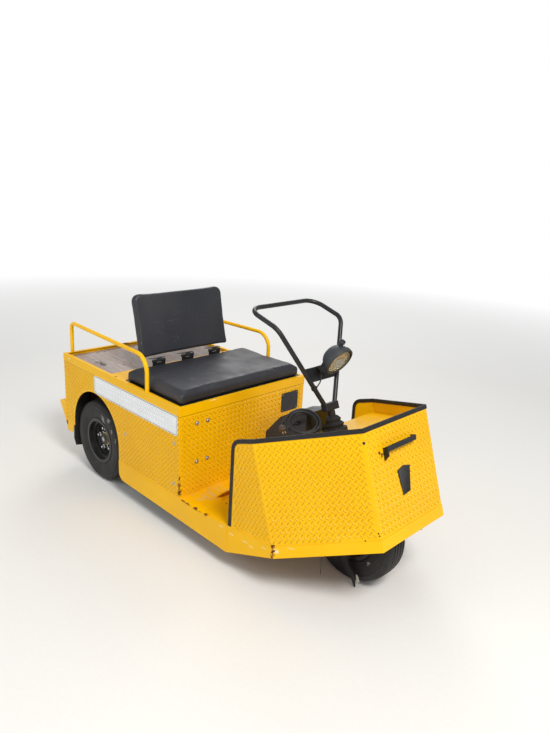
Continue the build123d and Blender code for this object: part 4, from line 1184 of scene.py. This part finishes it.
def make_wheel_trim():
    nut = wheel_nut()
    cap = smooth(turned("hub_cap", HUB_CAP, 48), 30)
    pin = smooth(peg("hub_nut", HUB_NUT_FOOT, 0.0235, 0.0135, 6, 0.0014), 30)
    valve = smooth(moved(turned("valve", VALVE, 16), VALVE_PLACE))
    stud = Matrix.Translation((0, DISC_FACE, STUD_CIRCLE / 2))
    for wheel, body, face in WHEELS:
        place = wheel_place(wheel) @ Matrix.Rotation(math.pi if face < 0 else 0, 4, "Z")
        spokes = [Matrix.Rotation(2 * math.pi / STUDS * index + STUD_TURN, 4, "Y") for index in range(STUDS)]
        strewn(f"{body}_nuts", [(nut, place @ spoke @ stud) for spoke in spokes], CHROME, body)
        done(copied(valve, f"{body}_valve", place), EDGE_RUBBER, body)
        if wheel != "front":
            done(copied(cap, f"{body}_hub_cap", place), BRASS, body)
            done(copied(pin, f"{body}_hub_nut", place), STEEL, body)
    dropped(nut, cap, pin, valve)


# Headlamp: reflector, bulb and fluted glass
LAMP_CENTRE = at(1.2145, 0, 0.866)
LAMP_DROP = math.radians(29)
LAMP_OUT = Vector((math.cos(LAMP_DROP), 0, -math.sin(LAMP_DROP)))
LAMP_UP = Y_AXIS.cross(LAMP_OUT)
# Lays a piece turned about Y on the lamp's axis, its +Y towards the front
LAMP_TURN = Matrix.Translation(LAMP_CENTRE) @ Matrix((Y_AXIS, LAMP_OUT, -LAMP_UP)).transposed().to_4x4()


def clear_glass(name, fluted=False):
    material, shader, where = blank(name)
    feed(shader, colour=tone(240, 240, 232), roughness=0.05, transmission=1.0, ior=1.46)
    if fluted:
        flutes = where.node("TexWave", {"Vector": where, "Scale": 46.0, "Distortion": 0.0}, 1,
                            wave_type="BANDS", bands_direction="Y")
        bumped(shader, flutes, 0.9, 0.0014)
    return material


def mirror_metal(name):
    material, shader, where = blank(name)
    haze = where.noise(40.0, 4.0).spread(0.4, 0.8, 0.14, 0.3)
    feed(shader, colour=tone(214, 212, 200), roughness=haze, metal=1.0)
    return material


LAMP_BOWL = [
    # distance in front of the lens plane, radius: outside from the back, round the rim and in again
    (-0.0640, 0.0), (-0.0637, 0.0110), (-0.0615, 0.0240), (-0.0565, 0.0360), (-0.0485, 0.0455),
    (-0.0385, 0.0525), (-0.0275, 0.0572), (-0.0170, 0.0600), (-0.0158, 0.0618), (-0.0142, 0.0631),
    (-0.0125, 0.0635), (0.0012, 0.0635), (0.0030, 0.0629), (0.0040, 0.0612), (0.0040, 0.0590),
    (0.0034, 0.0577), (-0.0055, 0.0574), (-0.0060, 0.0558), (-0.0160, 0.0558), (-0.0330, 0.0500),
    (-0.0460, 0.0410), (-0.0550, 0.0270), (-0.0590, 0.0120), (-0.0596, 0.0),
]
LAMP_STUD_BACK = 0.034
LAMP_SHELF = -0.0782
LAMP_STUD_TOP = 0.045
LAMP_STUD_RADIUS = 0.009
LAMP_NUT_RADIUS = 0.0135
LAMP_NUT_HEIGHT = 0.0098
LAMP_REFLECTOR = [
    (-0.0500, 0.0), (-0.0490, 0.0120), (-0.0420, 0.0280), (-0.0300, 0.0400), (-0.0160, 0.0480),
    (-0.0062, 0.0560), (-0.0052, 0.0560), (-0.0145, 0.0468), (-0.0285, 0.0388), (-0.0405, 0.0268),
    (-0.0472, 0.0115), (-0.0482, 0.0),
]
LAMP_BULB = [
    (-0.0480, 0.0), (-0.0480, 0.0060), (-0.0340, 0.0060), (-0.0300, 0.0085), (-0.0240, 0.0085), (-0.0200, 0.0060),
    (-0.0180, 0.0),
]


def make_lamp():
    bowl = moved(turned("headlamp_bowl", LAMP_BOWL, 72), LAMP_TURN)
    axis = LAMP_CENTRE - LAMP_OUT * LAMP_STUD_BACK
    shelf = axis + LAMP_UP * LAMP_SHELF
    stud = post("stud", shelf, axis - LAMP_UP * LAMP_STUD_TOP, LAMP_STUD_RADIUS)
    nut = rounded(post("stud_nut", shelf, shelf + LAMP_UP * LAMP_NUT_HEIGHT, LAMP_NUT_RADIUS, 6), 0.0012, 2)
    bowl = smooth(joined("headlamp_bowl", [bowl, stud, nut]), 40)
    done(bowl, LAMP_RUBBER, "steering")
    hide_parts("headlamp_shell")
    for name, profile, steps, finish in (("lamp_reflector", LAMP_REFLECTOR, 48, mirror_metal("lamp_mirror")),
                                         ("lamp_bulb", LAMP_BULB, 24, clear_glass("bulb_glass"))):
        done(moved(smooth(turned(name, profile, steps)), LAMP_TURN), finish, "steering")
    dress("headlamp_lens", clear_glass("lens_glass", fluted=True))


# Bolts, signs and loose ends
SIDE_BOLTS = [(0.277, 0.343), (0.665, 0.432), (0.663, 0.242)]
FRONT_BOLTS = [(-0.289, 0.513), (-0.230, 0.513), (-0.289, 0.333), (-0.230, 0.333)]
FLAT_HEAD = [
    (-0.0002, 0.0), (-0.0002, 0.0090), (0.0005, 0.0090), (0.0011, 0.0070), (0.0014, 0.0035), (0.0014, 0.0),
]
ROUND_HEAD = [
    (-0.0002, 0.0), (-0.0002, 0.0105), (0.0012, 0.0105), (0.0017, 0.0090), (0.0017, 0.0078), (0.0040, 0.0068),
    (0.0056, 0.0045), (0.0061, 0.0),
]
SCREW_HEAD = [(-0.0004, 0.0), (-0.0004, 0.0048), (0.0002, 0.0048), (0.0006, 0.0030), (0.0006, 0.0)]
BOX_FRONT_X = BOX_FRONT - AXLE_X
FLAP_TOP = (-0.208, 0, 0.540)
FLAP_UP = Vector((0.045, 0, 0.45)).normalized()
FLAP_OUT = 0.374
PANEL_FACE = 0.3805
DECK_TOP = 0.582
REAR_BOLTS_Y = (-0.30, 0.30)
REAR_BOLTS_Z = (0.35, 0.52)
SCREWS_X = (-0.270, -0.010, 0.124)
SCREWS_Y = (-0.355, -0.205, -0.165, -0.018, 0.018, 0.165, 0.205, 0.355)


def make_bolts():
    flat = turned("flat_head", FLAT_HEAD, 24)
    domed = turned("round_head", ROUND_HEAD, 24)
    screw = turned("screw_head", SCREW_HEAD, 16)
    bolts = [(flat, facing(at(x, way * PANEL_FACE, z), Y_AXIS * way)) for x, z in SIDE_BOLTS for way in (-1, 1)]
    bolts += [(domed, facing(at(BOX_FRONT_X, y, z), X_AXIS)) for y, z in FRONT_BOLTS]
    bolts += [(domed, facing(Vector((BOX_REAR, y, z)), -X_AXIS)) for y in REAR_BOLTS_Y for z in REAR_BOLTS_Z]
    strewn("panel_bolts", bolts, STEEL)
    screws = [(screw, facing(at(x, y, DECK_TOP), Z_AXIS, X_AXIS)) for x in SCREWS_X for y in SCREWS_Y]
    strewn("deck_screws", screws, IRON)
    dropped(flat, domed, screw)


BADGE = [(-0.047, 0.0279), (-0.032, -0.0670), (0.012, -0.0616), (0.031, 0.0292), (-0.009, 0.0386)]


def rimmed(sign, edge, drop):
    """Sinks the face of a flat sign inside a narrow rim."""
    with editing(sign) as mesh:
        top = max(vert.co.z for vert in mesh.verts)
        pick(mesh, "faces", lambda face: face.normal.z > 0.9 and face.calc_center_median().z > top - 1e-5)
        bpy.ops.mesh.inset(thickness=edge, depth=0)
        bpy.ops.mesh.extrude_region_move(TRANSFORM_OT_translate={"value": (0, 0, -drop)})
    return outwards(sign)


SIGN_WIDTH, SIGN_HEIGHT, SIGN_CORNER = 0.114, 0.096, 0.008
SIGN_PLACE = at(BOX_FRONT_X + 0.0010, 0.282, 0.489)
RIVET_HEAD = [(0.0012, 0.0), (0.0012, 0.0028), (0.0022, 0.0024), (0.0027, 0.0012), (0.0028, 0.0)]


def make_signs():
    badge = rounded(rimmed(plate("nose_badge", BADGE, 0.0036), 0.0022, 0.0009), 0.0006, 2)
    turn = seat(on_nose(NOSE_FRONT_U, 0, 0), Y_AXIS, NOSE_UP)
    done(moved(smooth(badge), turn), SIGN_BLACK)
    outline = rounded_outline(SIGN_WIDTH, SIGN_HEIGHT, SIGN_CORNER)
    sign = rimmed(plate("box_sign", outline, 0.0020), 0.0016, 0.0004)
    done(moved(smooth(sign), seat(SIGN_PLACE, Y_AXIS, Z_AXIS)), SIGN_BLACK)
    rivet = turned("rivet", RIVET_HEAD, 12)
    strewn("sign_rivets", [(rivet, facing(SIGN_PLACE + Vector((0, y, z)), X_AXIS))
                           for y in (-0.049, 0.049) for z in (-0.040, 0.040)], STEEL)
    dropped(rivet)


WING_OUT = (NOSE_ALONG * (NOSE_FOLD_HALF - NOSE_FRONT_HALF)
            - Y_AXIS * (NOSE_FRONT_U - NOSE_FOLD_U)).normalized()
LIP_FACE_U = NOSE_FRONT_U + 0.0016
HANDLE_SCREWS = [(-0.0875, 0.094), (-0.0875, 0.118), (0.0795, 0.1245)]
# Drain holes in the lip are thin dark discs: painted shade for their shaded inside.
LIP_HOLE = [(0.0, 0.0), (0.0, 0.0030), (0.0003, 0.0030), (0.0003, 0.0)]
LIP_HOLES = [
    # place, way it faces
    (at(1.5712, -0.2210, 0.3366), WING_OUT),
    (at(1.6080, -0.2010, 0.3754), WING_OUT),
    (on_nose(LIP_FACE_U, -0.180, -0.190), NOSE_ALONG),
    (on_nose(LIP_FACE_U, 0.040, -0.222), NOSE_ALONG),
]
HANGING_WIRE = [(1.428, -0.276, 0.232), (1.428, -0.277, 0.200), (1.431, -0.279, 0.170), (1.429, -0.278, 0.150)]


def make_nose_details():
    """The handle's screws, an odd rivet, dark discs of painted shade for the lip's drain holes and a wire that
    hangs below it.
    """
    stud = turned("stud", ROUND_HEAD, 16)
    rivets = [(stud, facing(at(1.5076, -0.1996, 0.6805), WING_OUT) @ Matrix.Scale(0.5, 4))]
    rivets += [(stud, facing(on_nose(NOSE_FRONT_U, y, v), NOSE_ALONG) @ Matrix.Scale(0.62, 4))
               for y, v in HANDLE_SCREWS]
    strewn("nose_rivets", rivets, SATIN_BLACK)
    hole = turned("hole", LIP_HOLE, 16)
    # Painted shade: dark discs stand for the holes.
    strewn("lip_hole_shade", [(hole, facing(place, way)) for place, way in LIP_HOLES], BOOT_RUBBER)
    dropped(stud, hole)
    done(tube("hanging_wire", [at(*place) for place in HANGING_WIRE], 0.0013), LEAD_RUBBER)


FLAP = [(-0.084, 0.0), (0.0, 0.0), (0.0, -0.400), (-0.012, -0.448), (-0.050, -0.455), (-0.084, -0.440)]
FLAP_SHEET = 0.004


def make_flaps():
    """Rubber mud flaps that hang behind the rear wheels."""
    for way, word in ((-1, "right"), (1, "left")):
        outline = [(way * x, y) for x, y in FLAP][::way]
        flap = rounded(plate(f"mud_flap_{word}", outline, FLAP_SHEET), 0.001, 1)
        place = at(*FLAP_TOP) + Y_AXIS * way * FLAP_OUT
        done(moved(flap, seat(place, Y_AXIS, FLAP_UP)), EDGE_RUBBER)


STRAP = [
    # X, Z of the torn strap's outline beside the front wheel
    (1.360, 0.190), (1.360, 0.128), (1.370, 0.088), (1.396, 0.056), (1.424, 0.034), (1.441, 0.004),
    (1.448, 0.006), (1.444, 0.038), (1.431, 0.068), (1.408, 0.082), (1.392, 0.120), (1.386, 0.190),
]
STRAP_CHIP = [(1.444, 0.064), (1.454, 0.060), (1.465, 0.040), (1.461, 0.028), (1.451, 0.031), (1.447, 0.048)]
STRAP_Y = -0.0722
# Stands a flat XY piece up in the XZ plane
UPRIGHT = Matrix(((1, 0, 0), (0, 0, -1), (0, 1, 0))).to_4x4()


def make_strap():
    """A torn rubber strap that drags beside the front wheel, on the fork's right leg."""
    for name, outline, sheet, finish in (("torn_strap", STRAP, 0.0030, EDGE_RUBBER),
                                         ("torn_strap_chip", STRAP_CHIP, 0.0018, PALE_CHIP)):
        piece = rounded(plate(name, outline, sheet), 0.0006, 1)
        moved(piece, Matrix.Translation(at(0, STRAP_Y, 0)) @ UPRIGHT)
        done(smooth(piece), finish, "steering")


# Small controls on the console's slope, which faces the driver
SLOPE_LOW = Vector((0.942, 0, 0.531))
SLOPE_HIGH = Vector((0.987, 0, 0.582))
GAUGE = [
    (-0.001, 0.0), (-0.001, 0.0260), (0.0030, 0.0260), (0.0045, 0.0250), (0.0045, 0.0225), (0.0020, 0.0215),
    (0.0020, 0.0),
]
LOCK = [
    (-0.001, 0.0), (-0.001, 0.0150), (0.0022, 0.0150), (0.0034, 0.0138), (0.0034, 0.0100), (0.0070, 0.0095),
    (0.0078, 0.0086), (0.0078, 0.0),
]
GAUGE_Y = 0.035
LOCK_Y = -0.032


def make_controls():
    along = (SLOPE_HIGH - SLOPE_LOW).normalized()
    middle = (SLOPE_LOW + SLOPE_HIGH) / 2
    out = Y_AXIS.cross(along)
    out = out if out.z > 0 else -out

    def spot(y):
        return facing(at(middle.x, y, middle.z), out, along)

    gauge = smooth(turned("charge_gauge", GAUGE, 48), 30)
    done(moved(gauge, spot(GAUGE_Y)), SIGN_BLACK)
    lock = smooth(turned("key_switch", LOCK, 32), 30)
    done(moved(lock, spot(LOCK_Y)), CHROME)
    # Painted shade: a thin dark bar stands for the key slot's shaded inside.
    slit = block("key_slit_shade", (-0.0012, 0.0070, -0.0048), (0.0012, 0.0081, 0.0048))
    done(moved(slit, spot(LOCK_Y)), SIGN_BLACK)


# Stage

LAMPS = [
    # name, place, size, watts, colour
    ("key", (3.4, -1.3, 4.2), 1.6, 195, (1.0, 0.975, 0.94)),
    ("fill", (-1.5, -4.2, 2.6), 3.0, 38, (0.95, 0.98, 1.0)),
    ("back", (-3.2, 3.0, 3.6), 3.0, 80, (1.0, 1.0, 1.0)),
]
LAMP_AIM = Vector((0.1, 0, 0.4))
SKY = (0.97, 0.985, 1.0, 1)
WHITE = (1, 1, 1, 1)
FLOOR_RADIUS = 40
FLOOR_DROP = 0.0005
FLOOR_FADE = (3.0, 7.0)


def seen_by(tree, *kinds):
    """1 for the kinds of rays named."""
    rays = node(tree, "LightPath")
    return reduce(Value.most, [Value(tree, rays.outputs[f"Is {kind} Ray"]) for kind in kinds])


def glow(tree, kind, colour, strength):
    return Value(tree, node(tree, kind, {"Color": colour, "Strength": strength}).outputs[0])


def studio_floor():
    """A pale floor that fades to white far from the vehicle."""
    clear()
    bpy.ops.mesh.primitive_circle_add(vertices=96, radius=FLOOR_RADIUS, fill_type="NGON",
                                      location=(0, 0, -FLOOR_DROP))
    floor = settle(named("studio_floor"))
    material, shader, where = blank("pale_floor")
    tree = where.tree
    grain = where.noise(60.0, 4.0).spread(0.3, 0.7, 0.0, 0.25)
    feed(shader, colour=mixed(grain, tone(232, 231, 228), tone(224, 223, 220)), roughness=0.7, specular=0.2)
    away = where.node("VectorMath", {0: where}, 1, operation="LENGTH")
    share = away.spread(*FLOOR_FADE) * seen_by(tree, "Camera", "Glossy", "Transmission")
    both = share.node("MixShader", {0: share, 1: Value(tree, shader.outputs[0]),
                                    2: glow(tree, "Emission", WHITE, 1.0)})
    connect(tree.nodes["Material Output"].inputs[0], both)
    floor.data.materials.append(material)


def studio():
    scene = bpy.context.scene
    scene.view_settings.view_transform = "Standard"
    studio_floor()
    scene.world = bpy.data.worlds.new("studio")
    scene.world.use_nodes = True
    tree = scene.world.node_tree
    tree.nodes.clear()
    seen = seen_by(tree, "Camera", "Transmission")
    both = seen.node("MixShader", {0: seen, 1: glow(tree, "Background", SKY, 0.50),
                                   2: glow(tree, "Background", WHITE, 1.0)})
    node(tree, "OutputWorld", {0: both})
    for name, place, size, watts, colour in LAMPS:
        light = bpy.data.lights.new(name, "AREA")
        light.shape = "DISK"
        light.size = size
        light.energy = watts
        light.color = colour
        lamp = bpy.data.objects.new(name, light)
        scene.collection.objects.link(lamp)
        lamp.location = place
        lamp.rotation_euler = (LAMP_AIM - Vector(place)).to_track_quat("-Z", "Y").to_euler()


# The photograph's camera, solved from the body's straight edges
VIEW_RIGHT = Vector((0.70312004, 0.70910126, 0.05289252))
VIEW_DOWN = Vector((0.24313998, -0.16985449, -0.95500388))
VIEW_ALONG = Vector((-0.66821042, 0.68434265, -0.29183896))
VIEW_FROM = at(2.657, -1.834, 1.540)
SENSOR_HEIGHT = 36
LENS = 30.57


def camera():
    data = bpy.data.cameras.new("camera")
    data.sensor_fit = "VERTICAL"
    data.sensor_height = SENSOR_HEIGHT
    data.lens = LENS
    cam = bpy.data.objects.new("camera", data)
    bpy.context.scene.collection.objects.link(cam)
    turn = Matrix((VIEW_RIGHT, -VIEW_DOWN, -VIEW_ALONG)).transposed().to_4x4()
    cam.matrix_world = Matrix.Translation(VIEW_FROM) @ turn
    bpy.context.scene.camera = cam


dress_nodes()
make_cord()
make_treads()
make_label()
make_tyres()
make_wheel_trim()
make_lamp()
make_bolts()
make_signs()
make_nose_details()
make_flaps()
make_strap()
make_controls()
seat_cushion()
backrest()
studio()
camera()
